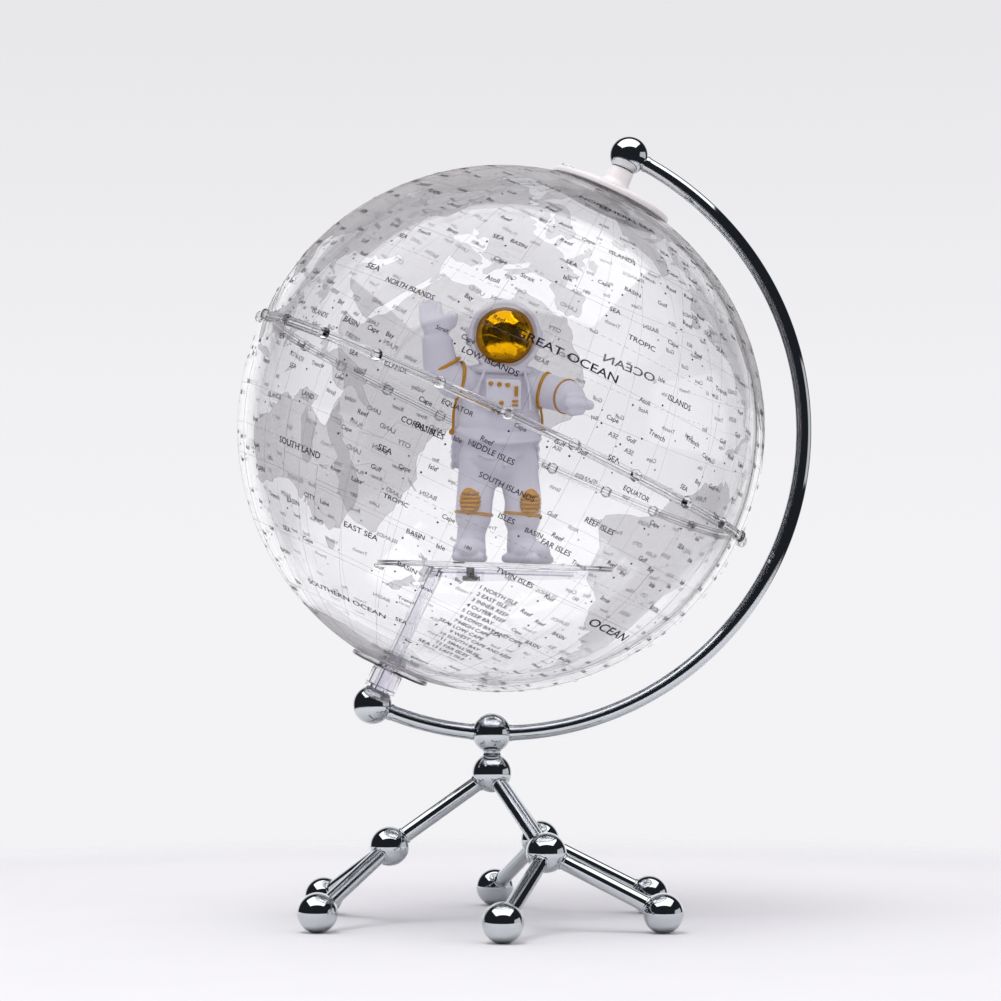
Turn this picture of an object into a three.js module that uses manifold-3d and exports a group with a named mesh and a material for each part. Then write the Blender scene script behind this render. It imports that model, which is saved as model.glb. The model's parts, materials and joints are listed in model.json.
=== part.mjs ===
// A desktop globe: a clear acrylic sphere that turns on a leaning axis between the end balls of a chromed arm,
// on a tripod of chromed balls and rods. A clear pillar on the arm holds a level platform inside the sphere,
// with an astronaut figure on it, so the figure stays upright and still while the map turns round it.
// Millimetres, +Z up. The origin is on the table, at the middle of the object's box.
import * as THREE from "three";
import { mergeVertices } from "three/addons/utils/BufferGeometryUtils.js";
import Module from "manifold-3d";

const wasm = await Module();
wasm.setup();

// ---- driving dimensions ----
const GAP = 0.3; // between pieces that touch
const RUNNING = 0.1; // radial clearance of a bearing
const BALL_R = 7.5;
const ROD_R = 3;
const SOCKET_DEPTH = 2.8; // of a rod's socket, below the ball's surface

const GLOBE_R = 100;
const WALL = 3;
const AXIS_TILT = THREE.MathUtils.degToRad(25);
const ARM_R = 115.5; // centreline of the arm, concentric with the globe
const GLOBE_X = 3.5; // the globe's centre is this far right of the tripod's centre
const ARM_HUB_Z = 72;
const TRIPOD_HUB_Z = 56.9;
const KNEE_R = 38.8;
const KNEE_Z = 29.2;
const FOOT_R = 73.4;
const FOOT_SPREAD = THREE.MathUtils.degToRad(28); // a leg's two feet, each side of its knee
const FOOT_FLAT_R = 1.6;
const NECK_R = 3.65; // spacer between the two hub balls
const STUD_R = 2.5;

const PIN_R = 2;
const DIAL_R = 24;
const CAP_R = 15.5;
const COLLAR_R = 5;
const POLE_HOLE_R = 7;
const PILLAR_R = 3;
const BAND_HALF = 1.65; // half the width of the joint ring's band
const STUDS = 24;

const PLATFORM_R = 45;
const PLATFORM_T = 2;
const PLATFORM_TOP = new THREE.Vector3(1.2, 0, 136.3); // middle of its upper face, from the tripod's centre
const PLATFORM_LEAN = THREE.MathUtils.degToRad(1.7);

const ROUND = 36; // segments of the sphere and its ring
const FINE = 16; // segments of a bearing
const BALL_SEGMENTS = 14;
const ROD_SEGMENTS = 10;
const LIMB_SEGMENTS = 9;

// ---- materials ----
const finish = (color, roughness, metalness, opacity = 1) =>
  new THREE.MeshStandardMaterial({ color, roughness, metalness, opacity, transparent: opacity < 1 });
const CHROME = finish("#d8dade", 0.05, 1);
const ACRYLIC = finish("#f2f4f6", 0.04, 0, 0.25);
const WHITE = finish("#f1eff0", 0.4, 0);
const STEEL = finish("#8f8f86", 0.3, 1);
const VINYL = finish("#bdbbc6", 0.55, 0);
const GOLD = finish("#e0a409", 0.12, 1);
const OCHRE = finish("#c18a2b", 0.4, 0);

// ---- solids ----
const Z = new THREE.Vector3(0, 0, 1);

/** A closed geometry as a manifold-3d solid. */
function solid(geometry) {
  const bare = new THREE.BufferGeometry();
  bare.setAttribute("position", geometry.getAttribute("position"));
  bare.setIndex(geometry.index);
  const merged = mergeVertices(bare, 1e-4);
  return new wasm.Manifold(
    new wasm.Mesh({
      numProp: 3,
      vertProperties: new Float32Array(merged.attributes.position.array),
      triVerts: new Uint32Array(merged.index.array),
    }),
  );
}

/** A manifold-3d solid as a BufferGeometry. */
function geometryOf(made) {
  const m = made.getMesh();
  const positions = new Float32Array(m.numVert * 3);
  for (let i = 0; i < m.numVert; i++)
    positions.set(m.vertProperties.subarray(i * m.numProp, i * m.numProp + 3), i * 3);
  const geometry = new THREE.BufferGeometry();
  geometry.setAttribute("position", new THREE.BufferAttribute(positions, 3));
  geometry.setIndex(new THREE.BufferAttribute(new Uint32Array(m.triVerts), 1));
  geometry.computeVertexNormals();
  return geometry;
}

const join = (...solids) => solids.reduce((a, b) => a.add(b));

/** A cylinder or cone from point a to point b. */
function bar(a, b, radiusA, radiusB = radiusA, segments = ROD_SEGMENTS) {
  const along = b.clone().sub(a);
  const geometry = new THREE.CylinderGeometry(radiusB, radiusA, along.length(), segments);
  geometry.rotateX(Math.PI / 2);
  geometry.applyQuaternion(new THREE.Quaternion().setFromUnitVectors(Z, along.clone().normalize()));
  geometry.translate(...a.clone().add(b).multiplyScalar(0.5).toArray());
  return solid(geometry);
}

/** A closed profile of [radius, height] points turned about Z. */
function turned(profile, segments = FINE) {
  const points = profile.map(([r, z]) => new THREE.Vector2(r, z));
  const closed = points[0].x > 0 ? [...points, points[0].clone()] : points;
  const way = THREE.ShapeUtils.area(closed) > 0 ? closed : closed.reverse();
  return solid(new THREE.LatheGeometry(way, segments).rotateX(Math.PI / 2));
}

/** Points of an arc about the axis' origin, from one latitude to another, both in degrees. */
function arc(radius, from, to, steps) {
  return Array.from({ length: steps + 1 }, (_, i) => {
    const latitude = THREE.MathUtils.degToRad(from + ((to - from) * i) / steps);
    return [radius * Math.cos(latitude), radius * Math.sin(latitude)];
  });
}

/** An ellipsoid, or a sphere where only one radius is given. */
function blob(centre, rx, ry = rx, rz = rx, segments = 10) {
  const geometry = new THREE.SphereGeometry(1, segments, Math.round(segments * 0.6));
  geometry.rotateX(Math.PI / 2);
  geometry.scale(rx, ry, rz);
  geometry.translate(...centre);
  return solid(geometry);
}

const block = (x0, y0, z0, x1, y1, z1) =>
  solid(
    new THREE.BoxGeometry(x1 - x0, y1 - y0, z1 - z0).translate((x0 + x1) / 2, (y0 + y1) / 2, (z0 + z1) / 2),
  );

/** A limb: a tapered bar with a round end at each of its two points. */
function limb(a, b, radiusA, radiusB, grow = 0) {
  return join(
    bar(a, b, radiusA + grow, radiusB + grow, LIMB_SEGMENTS),
    blob(a.toArray(), radiusA + grow, radiusA + grow, radiusA + grow, LIMB_SEGMENTS),
    blob(b.toArray(), radiusB + grow, radiusB + grow, radiusB + grow, LIMB_SEGMENTS),
  );
}

/** The named mesh of a solid. */
function piece(name, made, material) {
  const mesh = new THREE.Mesh(geometryOf(made), material);
  mesh.name = name;
  return mesh;
}

/** A radius whose flats, not its corners, clear a shaft of the radius given. */
const boreRadius = (shaft, clearance, segments = FINE) => (shaft + clearance) / Math.cos(Math.PI / segments);

// ---- chromed balls and rods ----

/** A ball with a socket towards each point of `towards`, and a flat across each of `flats`. */
function drilledBall(centre, towards, flats = []) {
  let ball = blob(centre.toArray(), BALL_R, BALL_R, BALL_R, BALL_SEGMENTS);
  for (const point of towards) {
    const direction = point.clone().sub(centre).normalize();
    const from = centre.clone().addScaledVector(direction, BALL_R - SOCKET_DEPTH);
    const to = centre.clone().addScaledVector(direction, BALL_R + 1);
    ball = ball.subtract(bar(from, to, ROD_R + GAP));
  }
  for (const { direction, distance } of flats) {
    const from = centre.clone().addScaledVector(direction, distance);
    const to = centre.clone().addScaledVector(direction, BALL_R + 2);
    ball = ball.subtract(bar(from, to, BALL_R));
  }
  return ball;
}

/** A rod between two balls' centres, its ends in their sockets. */
function rodBetween(a, b) {
  const direction = b.clone().sub(a).normalize();
  const inset = BALL_R - SOCKET_DEPTH + GAP;
  return bar(a.clone().addScaledVector(direction, inset), b.clone().addScaledVector(direction, -inset), ROD_R);
}

const around = (radius, angle, z) => new THREE.Vector3(radius * Math.cos(angle), radius * Math.sin(angle), z);

/** The tripod: a hub ball, three legs that each fork at a knee ball, and six ball feet with a small flat each. */
function tripod() {
  const group = new THREE.Group();
  const footZ = Math.sqrt(BALL_R ** 2 - FOOT_FLAT_R ** 2);
  const hub = new THREE.Vector3(0, 0, TRIPOD_HUB_Z);
  const knees = [];
  for (let leg = 0; leg < 3; leg++) {
    const heading = Math.PI + (leg * 2 * Math.PI) / 3;
    const knee = around(KNEE_R, heading, KNEE_Z);
    const feet = [-1, 1].map((side) => around(FOOT_R, heading + side * FOOT_SPREAD, footZ));
    knees.push(knee);
    group.add(piece(`knee_ball_${leg + 1}`, drilledBall(knee, [hub, ...feet]), CHROME));
    group.add(piece(`upper_rod_${leg + 1}`, rodBetween(hub, knee), CHROME));
    feet.forEach((foot, i) => {
      const number = leg * 2 + i + 1;
      const flat = { direction: Z.clone().negate(), distance: footZ };
      group.add(piece(`foot_ball_${number}`, drilledBall(foot, [knee], [flat]), CHROME));
      group.add(piece(`lower_rod_${number}`, rodBetween(knee, foot), CHROME));
    });
  }
  const neckFlat = Math.sqrt(BALL_R ** 2 - NECK_R ** 2);
  const studFoot = TRIPOD_HUB_Z - 3;
  const studBore = bar(
    new THREE.Vector3(0, 0, studFoot - GAP),
    new THREE.Vector3(0, 0, TRIPOD_HUB_Z + BALL_R),
    STUD_R + GAP,
    STUD_R + GAP,
    FINE,
  );
  const hubBall = drilledBall(hub, knees, [{ direction: Z, distance: neckFlat }]);
  group.add(piece("tripod_hub_ball", hubBall.subtract(studBore), CHROME));
  const studTop = ARM_HUB_Z - ROD_R - GAP;
  group.add(
    piece(
      "hub_stud",
      bar(new THREE.Vector3(0, 0, studFoot), new THREE.Vector3(0, 0, studTop), STUD_R, STUD_R, FINE),
      STEEL,
    ),
  );
  const spacerFoot = TRIPOD_HUB_Z + neckFlat + GAP;
  const spacerHead = ARM_HUB_Z - neckFlat - GAP;
  const bore = boreRadius(STUD_R, RUNNING);
  const spacer = turned([
    [bore, spacerFoot],
    [NECK_R, spacerFoot],
    [NECK_R, spacerHead],
    [bore, spacerHead],
  ]);
  group.add(piece("neck_spacer", spacer, CHROME));
  return group;
}

// ---- the arm, in the leaning frame: origin at the globe's centre, +Z along its axis to the north ----

/** The arm's centreline: an arc from the north ball, round the +X side, to the south ball. */
class ArmLine extends THREE.Curve {
  constructor(fromAngle, toAngle) {
    super();
    this.fromAngle = fromAngle;
    this.toAngle = toAngle;
  }

  getPoint(t, target = new THREE.Vector3()) {
    const angle = this.fromAngle + (this.toAngle - this.fromAngle) * t;
    return target.set(ARM_R * Math.cos(angle), 0, ARM_R * Math.sin(angle));
  }
}

function tubeAlong(line, radius, steps, sides = ROD_SEGMENTS) {
  const section = new THREE.Shape().setFromPoints(
    Array.from({ length: sides }, (_, i) => {
      const angle = (i * 2 * Math.PI) / sides;
      return new THREE.Vector2(radius * Math.cos(angle), radius * Math.sin(angle));
    }),
  );
  return solid(new THREE.ExtrudeGeometry(section, { steps, bevelEnabled: false, extrudePath: line }));
}

function arm(toLeaning) {
  const group = new THREE.Group();
  const inset = (BALL_R - SOCKET_DEPTH + GAP) / ARM_R;
  const line = new ArmLine(Math.PI / 2 - inset, -Math.PI / 2 + inset);
  group.add(piece("arm_tube", tubeAlong(line, ROD_R, 36), CHROME));

  const north = new THREE.Vector3(0, 0, ARM_R);
  const south = new THREE.Vector3(0, 0, -ARM_R);
  const endReach = (BALL_R + 3) / ARM_R;
  const towardsTube = (angle) => new THREE.Vector3(ARM_R * Math.cos(angle), 0, ARM_R * Math.sin(angle));
  const northFlat = { direction: Z.clone().negate(), distance: Math.sqrt(BALL_R ** 2 - COLLAR_R ** 2) };
  const pinSocket = bar(
    new THREE.Vector3(0, 0, ARM_R - BALL_R),
    new THREE.Vector3(0, 0, ARM_R + 1 + GAP),
    PIN_R + GAP,
    PIN_R + GAP,
    FINE,
  );
  const northBall = drilledBall(north, [towardsTube(Math.PI / 2 - endReach)], [northFlat]);
  group.add(piece("north_ball", northBall.subtract(pinSocket), CHROME));
  const pinFoot = GLOBE_R - WALL - 5;
  group.add(
    piece(
      "north_pin",
      bar(new THREE.Vector3(0, 0, pinFoot), new THREE.Vector3(0, 0, ARM_R + 1), PIN_R, PIN_R, FINE),
      STEEL,
    ),
  );

  const pillarFoot = -ARM_R - 1;
  const pillarSocket = bar(
    new THREE.Vector3(0, 0, pillarFoot - GAP),
    new THREE.Vector3(0, 0, -ARM_R + BALL_R + 1),
    PILLAR_R + GAP,
    PILLAR_R + GAP,
    FINE,
  );
  const southFlat = { direction: Z, distance: Math.sqrt(BALL_R ** 2 - 4.6 ** 2) };
  const southBall = drilledBall(south, [towardsTube(-Math.PI / 2 + endReach)], [southFlat]);
  group.add(piece("south_ball", southBall.subtract(pillarSocket), CHROME));
  const pillar = turned([
    [1.4, pillarFoot],
    [PILLAR_R, pillarFoot],
    [PILLAR_R, PILLAR_TOP],
    [1.4, PILLAR_TOP],
  ]);
  group.add(piece("pillar", pillar, ACRYLIC));
  group.add(piece("south_collar", southCollar(), ACRYLIC));

  const hub = new THREE.Vector3(0, 0, ARM_HUB_Z).applyMatrix4(toLeaning);
  const down = new THREE.Vector3(0, 0, ARM_HUB_Z - 1).applyMatrix4(toLeaning).sub(hub);
  const hubAngle = Math.atan2(hub.z, hub.x);
  const through = tubeAlong(new ArmLine(hubAngle + 0.09, hubAngle - 0.09), ROD_R + GAP, 6);
  const studBore = bar(
    hub.clone(),
    hub.clone().addScaledVector(down, BALL_R),
    boreRadius(STUD_R, RUNNING),
    boreRadius(STUD_R, RUNNING),
    FINE,
  );
  const neckFlat = { direction: down, distance: Math.sqrt(BALL_R ** 2 - NECK_R ** 2) };
  const hubBall = drilledBall(hub, [], [neckFlat]);
  group.add(piece("arm_hub_ball", hubBall.subtract(through).subtract(studBore), CHROME));
  return group;
}

const COLLAR_FOOT = -ARM_R + Math.sqrt(BALL_R ** 2 - 4.6 ** 2) + GAP;
const CAP_FACE = -GLOBE_R - 1.6;

/** The clear tube between the south ball and the globe's cap, which turns on its upper rim. */
function southCollar() {
  const head = CAP_FACE - GAP;
  return turned([
    [PILLAR_R + GAP, COLLAR_FOOT],
    [6, COLLAR_FOOT],
    [6, head],
    [4.6, head],
    [4.6, COLLAR_FOOT + 1.4],
    [PILLAR_R + GAP, COLLAR_FOOT + 1.4],
  ]);
}

// ---- the globe, in the same leaning frame ----

/** Half of the sphere: a moulded shell with a hole at its pole and a plain edge at the equator. */
function hemisphere(side) {
  const inner = GLOBE_R - WALL;
  const edge = THREE.MathUtils.radToDeg(0.8 / GLOBE_R);
  const poleOuter = THREE.MathUtils.radToDeg(Math.acos(POLE_HOLE_R / GLOBE_R));
  const poleInner = THREE.MathUtils.radToDeg(Math.acos(POLE_HOLE_R / inner));
  const profile = [...arc(GLOBE_R, edge, poleOuter, 7), ...arc(inner, poleInner, edge, 7)];
  return turned(
    profile.map(([r, z]) => [r, side * z]),
    ROUND,
  );
}

/** The clear joint ring: an H section that holds both shells' edges, with a domed stud every 15 degrees. */
function equatorRing() {
  const outer = GLOBE_R + GAP;
  const inner = GLOBE_R - WALL - GAP;
  const web = 0.45;
  const band = turned(
    [
      [inner - 1, -BAND_HALF],
      [inner, -BAND_HALF],
      [inner, -web],
      [outer, -web],
      [outer, -BAND_HALF],
      [outer + 0.9, -BAND_HALF],
      [outer + 0.9, BAND_HALF],
      [outer, BAND_HALF],
      [outer, web],
      [inner, web],
      [inner, BAND_HALF],
      [inner - 1, BAND_HALF],
    ],
    ROUND,
  );
  const ring = [band];
  for (let i = 0; i < STUDS; i++) {
    const stud = new THREE.CylinderGeometry(1.5, 2.4, 1.7, 6);
    stud.rotateZ(-Math.PI / 2);
    stud.translate(outer + 0.3 + 0.85, 0, 0);
    stud.rotateZ((i * 2 * Math.PI) / STUDS);
    ring.push(solid(stud));
  }
  return wasm.Manifold.union(ring);
}

/** The white dial at the north pole: a shallow dish with a raised rim that rests on the sphere. */
function northDial() {
  const seat = Math.sqrt(GLOBE_R ** 2 - DIAL_R ** 2) + GAP;
  const bore = boreRadius(PIN_R, RUNNING);
  const under = arc(GLOBE_R + GAP, 77, 86, 3);
  return turned([
    [bore, GLOBE_R + GAP],
    ...under.reverse(),
    [DIAL_R - 0.6, seat],
    [DIAL_R, seat + 0.5],
    [DIAL_R, seat + 2.1],
    [DIAL_R - 0.8, seat + 2.6],
    [DIAL_R - 8, GLOBE_R + 1.5],
    [7.5, GLOBE_R + 2.1],
    [bore, GLOBE_R + 2.1],
  ]);
}

/** The white flared spacer between the dial and the north ball. */
function northCollar() {
  const foot = GLOBE_R + 2.1 + GAP;
  const head = ARM_R - Math.sqrt(BALL_R ** 2 - COLLAR_R ** 2) - GAP;
  const bore = boreRadius(PIN_R, RUNNING);
  return turned([
    [bore, foot],
    [7.2, foot],
    [5.4, foot + 1.2],
    [4.7, foot + 3],
    [4.8, head],
    [bore, head],
  ]);
}

/** A flanged bush inside a pole hole, for a shaft of the radius given. */
function poleBush(side, shaft) {
  const under = Math.sqrt((GLOBE_R - WALL) ** 2 - 10 ** 2) - GAP;
  const bore = boreRadius(shaft, RUNNING);
  const head = GLOBE_R - 0.5;
  return turned(
    [
      [bore, under - 1.8],
      [10, under - 1.8],
      [10, under],
      [POLE_HOLE_R - GAP, under],
      [POLE_HOLE_R - GAP, head],
      [bore, head],
    ].map(([r, z]) => [r, side * z]),
  );
}

/** The clear cap over the south pole hole, which turns on the collar. */
function southCap() {
  const seat = Math.sqrt(GLOBE_R ** 2 - CAP_R ** 2) + GAP;
  const bore = boreRadius(PILLAR_R, RUNNING);
  const under = arc(GLOBE_R + GAP, 82, 86, 2);
  return turned(
    [
      [bore, GLOBE_R + GAP],
      ...under.reverse(),
      [CAP_R - 0.4, seat],
      [CAP_R, seat + 0.4],
      [CAP_R, seat + 1.6],
      [CAP_R - 0.8, seat + 2],
      [8, -CAP_FACE],
      [bore, -CAP_FACE],
    ].map(([r, z]) => [r, -z]),
  );
}

function globe() {
  const group = new THREE.Group();
  group.add(piece("north_hemisphere", hemisphere(1), ACRYLIC));
  group.add(piece("south_hemisphere", hemisphere(-1), ACRYLIC));
  group.add(piece("equator_ring", equatorRing(), ACRYLIC));
  group.add(piece("north_dial", northDial(), WHITE));
  group.add(piece("north_collar", northCollar(), WHITE));
  group.add(piece("north_bush", poleBush(1, PIN_R), WHITE));
  const knobAt = -(DIAL_R - 5);
  const knobFoot = GLOBE_R + 1.6 + GAP;
  const knob = turned(
    [
      [0, knobFoot],
      [2.6, knobFoot],
      [2.2, knobFoot + 0.9],
      [1.2, knobFoot + 1.5],
      [0, knobFoot + 1.7],
    ],
    12,
  ).translate([knobAt, 0, 0]);
  group.add(piece("dial_knob", knob, ACRYLIC));
  group.add(piece("south_cap", southCap(), ACRYLIC));
  group.add(piece("south_bush", poleBush(-1, PILLAR_R), ACRYLIC));
  return group;
}

// ---- the platform inside the globe ----

const PILLAR_TOP = -64.5; // along the leaning axis
const BLOCK_X = [-14.6, -4]; // the screw's block, along the platform's own X
const RIB_END = 37.5;

/** The bracket under the platform: a leaning sleeve on the pillar, a screw block and a rib that thins outwards. */
function bracket(leaning, level) {
  const under = -PLATFORM_T - GAP;
  const side = new THREE.Shape().setFromPoints(
    [
      [-28, under],
      [-28, under - 2.2],
            [BLOCK_X[0], under - 4.6],
      [BLOCK_X[1], under - 4.6],
      [RIB_END - 3, under - 2.6],
      [RIB_END, under - 1.8],
      [RIB_END, under],
    ].map(([x, z]) => new THREE.Vector2(x, z)),
  );
  const width = 10;
  const rib = new THREE.ExtrudeGeometry(side, { depth: width, bevelEnabled: false });
  rib.rotateX(Math.PI / 2).translate(0, width / 2, 0);
  const sleeve = new THREE.CylinderGeometry(4.4, 4.4, 14, FINE).rotateX(Math.PI / 2);
  sleeve.translate(0, 0, PILLAR_TOP - 1).applyMatrix4(leaning);
  const socket = new THREE.CylinderGeometry(PILLAR_R + GAP, PILLAR_R + GAP, 30, FINE).rotateX(Math.PI / 2);
  socket.translate(0, 0, PILLAR_TOP + GAP - 15).applyMatrix4(leaning);
  const above = new THREE.BoxGeometry(60, 30, 20).translate(-22, 0, under + 10).applyMatrix4(level);
  const screwX = (BLOCK_X[0] + BLOCK_X[1]) / 2;
  const screwHole = bar(
    new THREE.Vector3(screwX, 0, under - 7),
    new THREE.Vector3(screwX, 0, under + 1),
    1.5 + GAP,
    1.5 + GAP,
    12,
  );
  const headRoom = bar(
    new THREE.Vector3(screwX, 0, under - 7),
    new THREE.Vector3(screwX, 0, under - 2.4),
    2.9 + GAP,
    2.9 + GAP,
    12,
  );
  const toStand = level.toArray();
  const ribSolid = solid(rib).subtract(screwHole).subtract(headRoom).transform(toStand);
  return ribSolid.add(solid(sleeve)).subtract(solid(socket)).subtract(solid(above));
}

/** The pan-head screw that holds the platform to its bracket, in the platform's frame. */
function bracketScrew() {
  const screwX = (BLOCK_X[0] + BLOCK_X[1]) / 2;
  const headTop = -PLATFORM_T - GAP - 2.4 - GAP;
  return turned(
    [
      [0, headTop - 2.1],
      [2, headTop - 2.1],
      [2.8, headTop - 1.4],
      [2.8, headTop],
      [1.5, headTop],
      [1.5, -PLATFORM_T + 1.2 - GAP],
      [0, -PLATFORM_T + 1.2 - GAP],
    ],
    12,
  ).translate([screwX, 0, 0]);
}

function platformDisc() {
  const disc = turned(
    [
      [0, -PLATFORM_T],
      [PLATFORM_R - 0.4, -PLATFORM_T],
      [PLATFORM_R, -PLATFORM_T + 0.4],
      [PLATFORM_R, -0.4],
      [PLATFORM_R - 0.4, 0],
      [0, 0],
    ],
    ROUND,
  );
  const screwX = (BLOCK_X[0] + BLOCK_X[1]) / 2;
  const hole = bar(
    new THREE.Vector3(screwX, 0, -PLATFORM_T - 1),
    new THREE.Vector3(screwX, 0, -PLATFORM_T + 1.2),
    1.5 + GAP,
    1.5 + GAP,
    12,
  );
  return disc.subtract(hole);
}

// ---- the astronaut figure: its frame is the platform's, it faces -Y, and its right arm is raised at -X ----

const HELMET = { centre: [1.9, 0.5, 86.6], r: 14 };
const VISOR = { centre: [1.9, -4.2, 86.8], r: 11.8 };
const SOLE = GAP;
const ANKLE_Z = 12.4;
const ANKLE_R = 5.4;

/** Suit from the neck to the ankles. */
function suit(grow = 0) {
  const g = grow;
  const knee = (x) => new THREE.Vector3(x, -0.5, 24);
  return join(
    blob([0.7, 0, 60], 16.4 + g, 11 + g, 15.5 + g, 12),
    blob([0.7, 0, 66], 15 + g, 9.5 + g, 10.5 + g, 12),
    blob([0.7, 0, 48.5], 16.6 + g, 11.5 + g, 5.2 + g, 12),
    blob([0.8, 0, 38], 15 + g, 10.5 + g, 12 + g, 12),
    limb(new THREE.Vector3(-6.4, 0, 36), knee(-7.6), 7.2, 6.9, g),
    limb(knee(-7.6), new THREE.Vector3(-8, 0.5, ANKLE_Z), 6.9, ANKLE_R, g),
    limb(new THREE.Vector3(8.8, 0, 36), knee(11), 7.2, 6.9, g),
    limb(knee(11), new THREE.Vector3(10.8, 0.5, ANKLE_Z), 6.9, ANKLE_R, g),
  );
}

const helmetBall = (grow = 0) => {
  const r = HELMET.r + grow;
  return join(
    blob(HELMET.centre, r, r, r, 14),
    blob([1.5, 0, 76.2], 11 + grow, 9.5 + grow, 3.6 + grow, 12),
  );
};

function visor(grow = 0) {
  const r = VISOR.r + grow;
  const [x, y, z] = VISOR.centre;
  return blob(VISOR.centre, r, r, r, 14).intersect(block(x - 20, y - 20, z - 20, x + 20, y - 2.8 + grow, z + 20));
}

function rightArm(grow = 0) {
  const shoulder = new THREE.Vector3(-12, -1, 68.5);
  const elbow = new THREE.Vector3(-20.8, -3, 71.5);
  const wrist = new THREE.Vector3(-22.9, -4, 84.5);
  const hand = join(
    blob([-23.8, -4.5, 92], 6.4, 4.4, 6.4),
    limb(new THREE.Vector3(-26.4, -4.5, 94), new THREE.Vector3(-27.6, -4.5, 97.4), 2.3, 1.8),
    limb(new THREE.Vector3(-21, -5, 92), new THREE.Vector3(-19.4, -5.4, 94.8), 2.4, 2),
  );
  return join(limb(shoulder, elbow, 7, 6.8, grow), limb(elbow, wrist, 6.8, 5.6, grow), hand);
}

function leftArm(grow = 0) {
  const shoulder = new THREE.Vector3(13.6, -1, 67.5);
  const elbow = new THREE.Vector3(20.5, -4, 65.8);
  const wrist = new THREE.Vector3(26.6, -10.5, 63.6);
  const hand = join(
    blob([28.6, -15.2, 60.8], 5.6, 5.6, 4.8),
    limb(new THREE.Vector3(31, -16.4, 60.5), new THREE.Vector3(33.6, -17.6, 59.9), 2, 1.6),
  );
  return join(limb(shoulder, elbow, 7, 6.8, grow), limb(elbow, wrist, 6.8, 5.6, grow), hand);
}

/** A boot that points along its heading, its sole flat on the platform. */
function boot(x, y, heading) {
  const made = join(
    blob([0, -4.6, 4.6], 7, 9, 6.2),
    blob([0, 1.2, 7.4], 6.8, 6.6, 8),
    bar(new THREE.Vector3(0, 0, 0), new THREE.Vector3(0, 0, 6), 6.9),
  ).intersect(block(-20, -20, 0, 20, 20, 13));
  return made.rotate([0, 0, heading]).translate([x, y, SOLE]);
}

function figure() {
  const group = new THREE.Group();
  const bodyCut = suit(GAP);
  const helmetCut = helmetBall(GAP);
  const visorCut = visor(GAP);
  const boots = [boot(-8.6, -0.5, -8), boot(11.4, -0.5, 42)];
  const bootRoom = boots.map((b) => b.translate([0, 0, GAP]));
  group.add(piece("figure_suit", suit().subtract(helmetCut).subtract(join(...boots, ...bootRoom)), VINYL));
    group.add(piece("figure_right_boot", boots[0].subtract(bodyCut), VINYL));
  group.add(piece("figure_left_boot", boots[1].subtract(bodyCut), VINYL));
  group.add(piece("figure_helmet", helmetBall().subtract(visorCut), VINYL));
  group.add(piece("figure_visor", visor(), GOLD));
  const shoulders = bodyCut.add(helmetCut);
  group.add(piece("figure_right_arm", rightArm().subtract(shoulders), VINYL));
  group.add(piece("figure_left_arm", leftArm().subtract(shoulders), VINYL));
  const upperBody = join(shoulders, rightArm(GAP), leftArm(GAP));
  const pack = block(-16.4, 8, 35, 16.2, 18, 74);
  group.add(piece("figure_backpack", pack.subtract(upperBody), VINYL));
  const chest = block(-4.8, -15.4, 58, 8.5, -6, 69.3);
  group.add(piece("figure_chest_pack", chest.subtract(upperBody), VINYL));
  [-9.6, 13.6].forEach((x, i) => {
    const pad = blob([x, -4.8, 23.1], 4.2, 4.4, 5.4).subtract(bodyCut);
    group.add(piece(`figure_knee_pad_${i + 1}`, pad, OCHRE));
  });
  return group;
}

// ---- the whole object ----

function build() {
  const globeCentre = new THREE.Vector3(GLOBE_X, 0, ARM_HUB_Z + Math.sqrt(ARM_R ** 2 - GLOBE_X ** 2));
  const leaning = new THREE.Group();
  leaning.position.copy(globeCentre);
  leaning.rotation.y = AXIS_TILT;
  leaning.updateMatrix();
  leaning.add(arm(leaning.matrix.clone().invert()), globe());

  const level = new THREE.Group();
  level.position.copy(PLATFORM_TOP);
  level.rotation.y = PLATFORM_LEAN;
  level.updateMatrix();
  level.add(piece("platform_disc", platformDisc(), ACRYLIC));
  level.add(piece("bracket_screw", bracketScrew(), STEEL));
  level.add(figure());

  const object = new THREE.Group();
  object.add(tripod(), leaning, level);
  object.add(piece("platform_bracket", bracket(leaning.matrix, level.matrix), ACRYLIC));
  const box = new THREE.Box3().setFromObject(object, true);
  object.position.x = -(box.min.x + box.max.x) / 2;
  return object;
}

export default build();
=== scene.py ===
"""The looks of the desktop globe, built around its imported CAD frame.

The frame gives every place: joints and node boxes set where each piece goes, and the classes below
build the chromed stand, the clear sphere with its printed map, the platform and the astronaut figure.
All lengths are in metres, in the frame's own axes.
"""

from __future__ import annotations

import json
import logging
import math
from dataclasses import dataclass, field
from enum import Enum
from typing import Callable, Iterable, Sequence

import bmesh
import bpy
import numpy as np
from mathutils import Matrix, Vector
from mathutils.geometry import delaunay_2d_cdt


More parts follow.
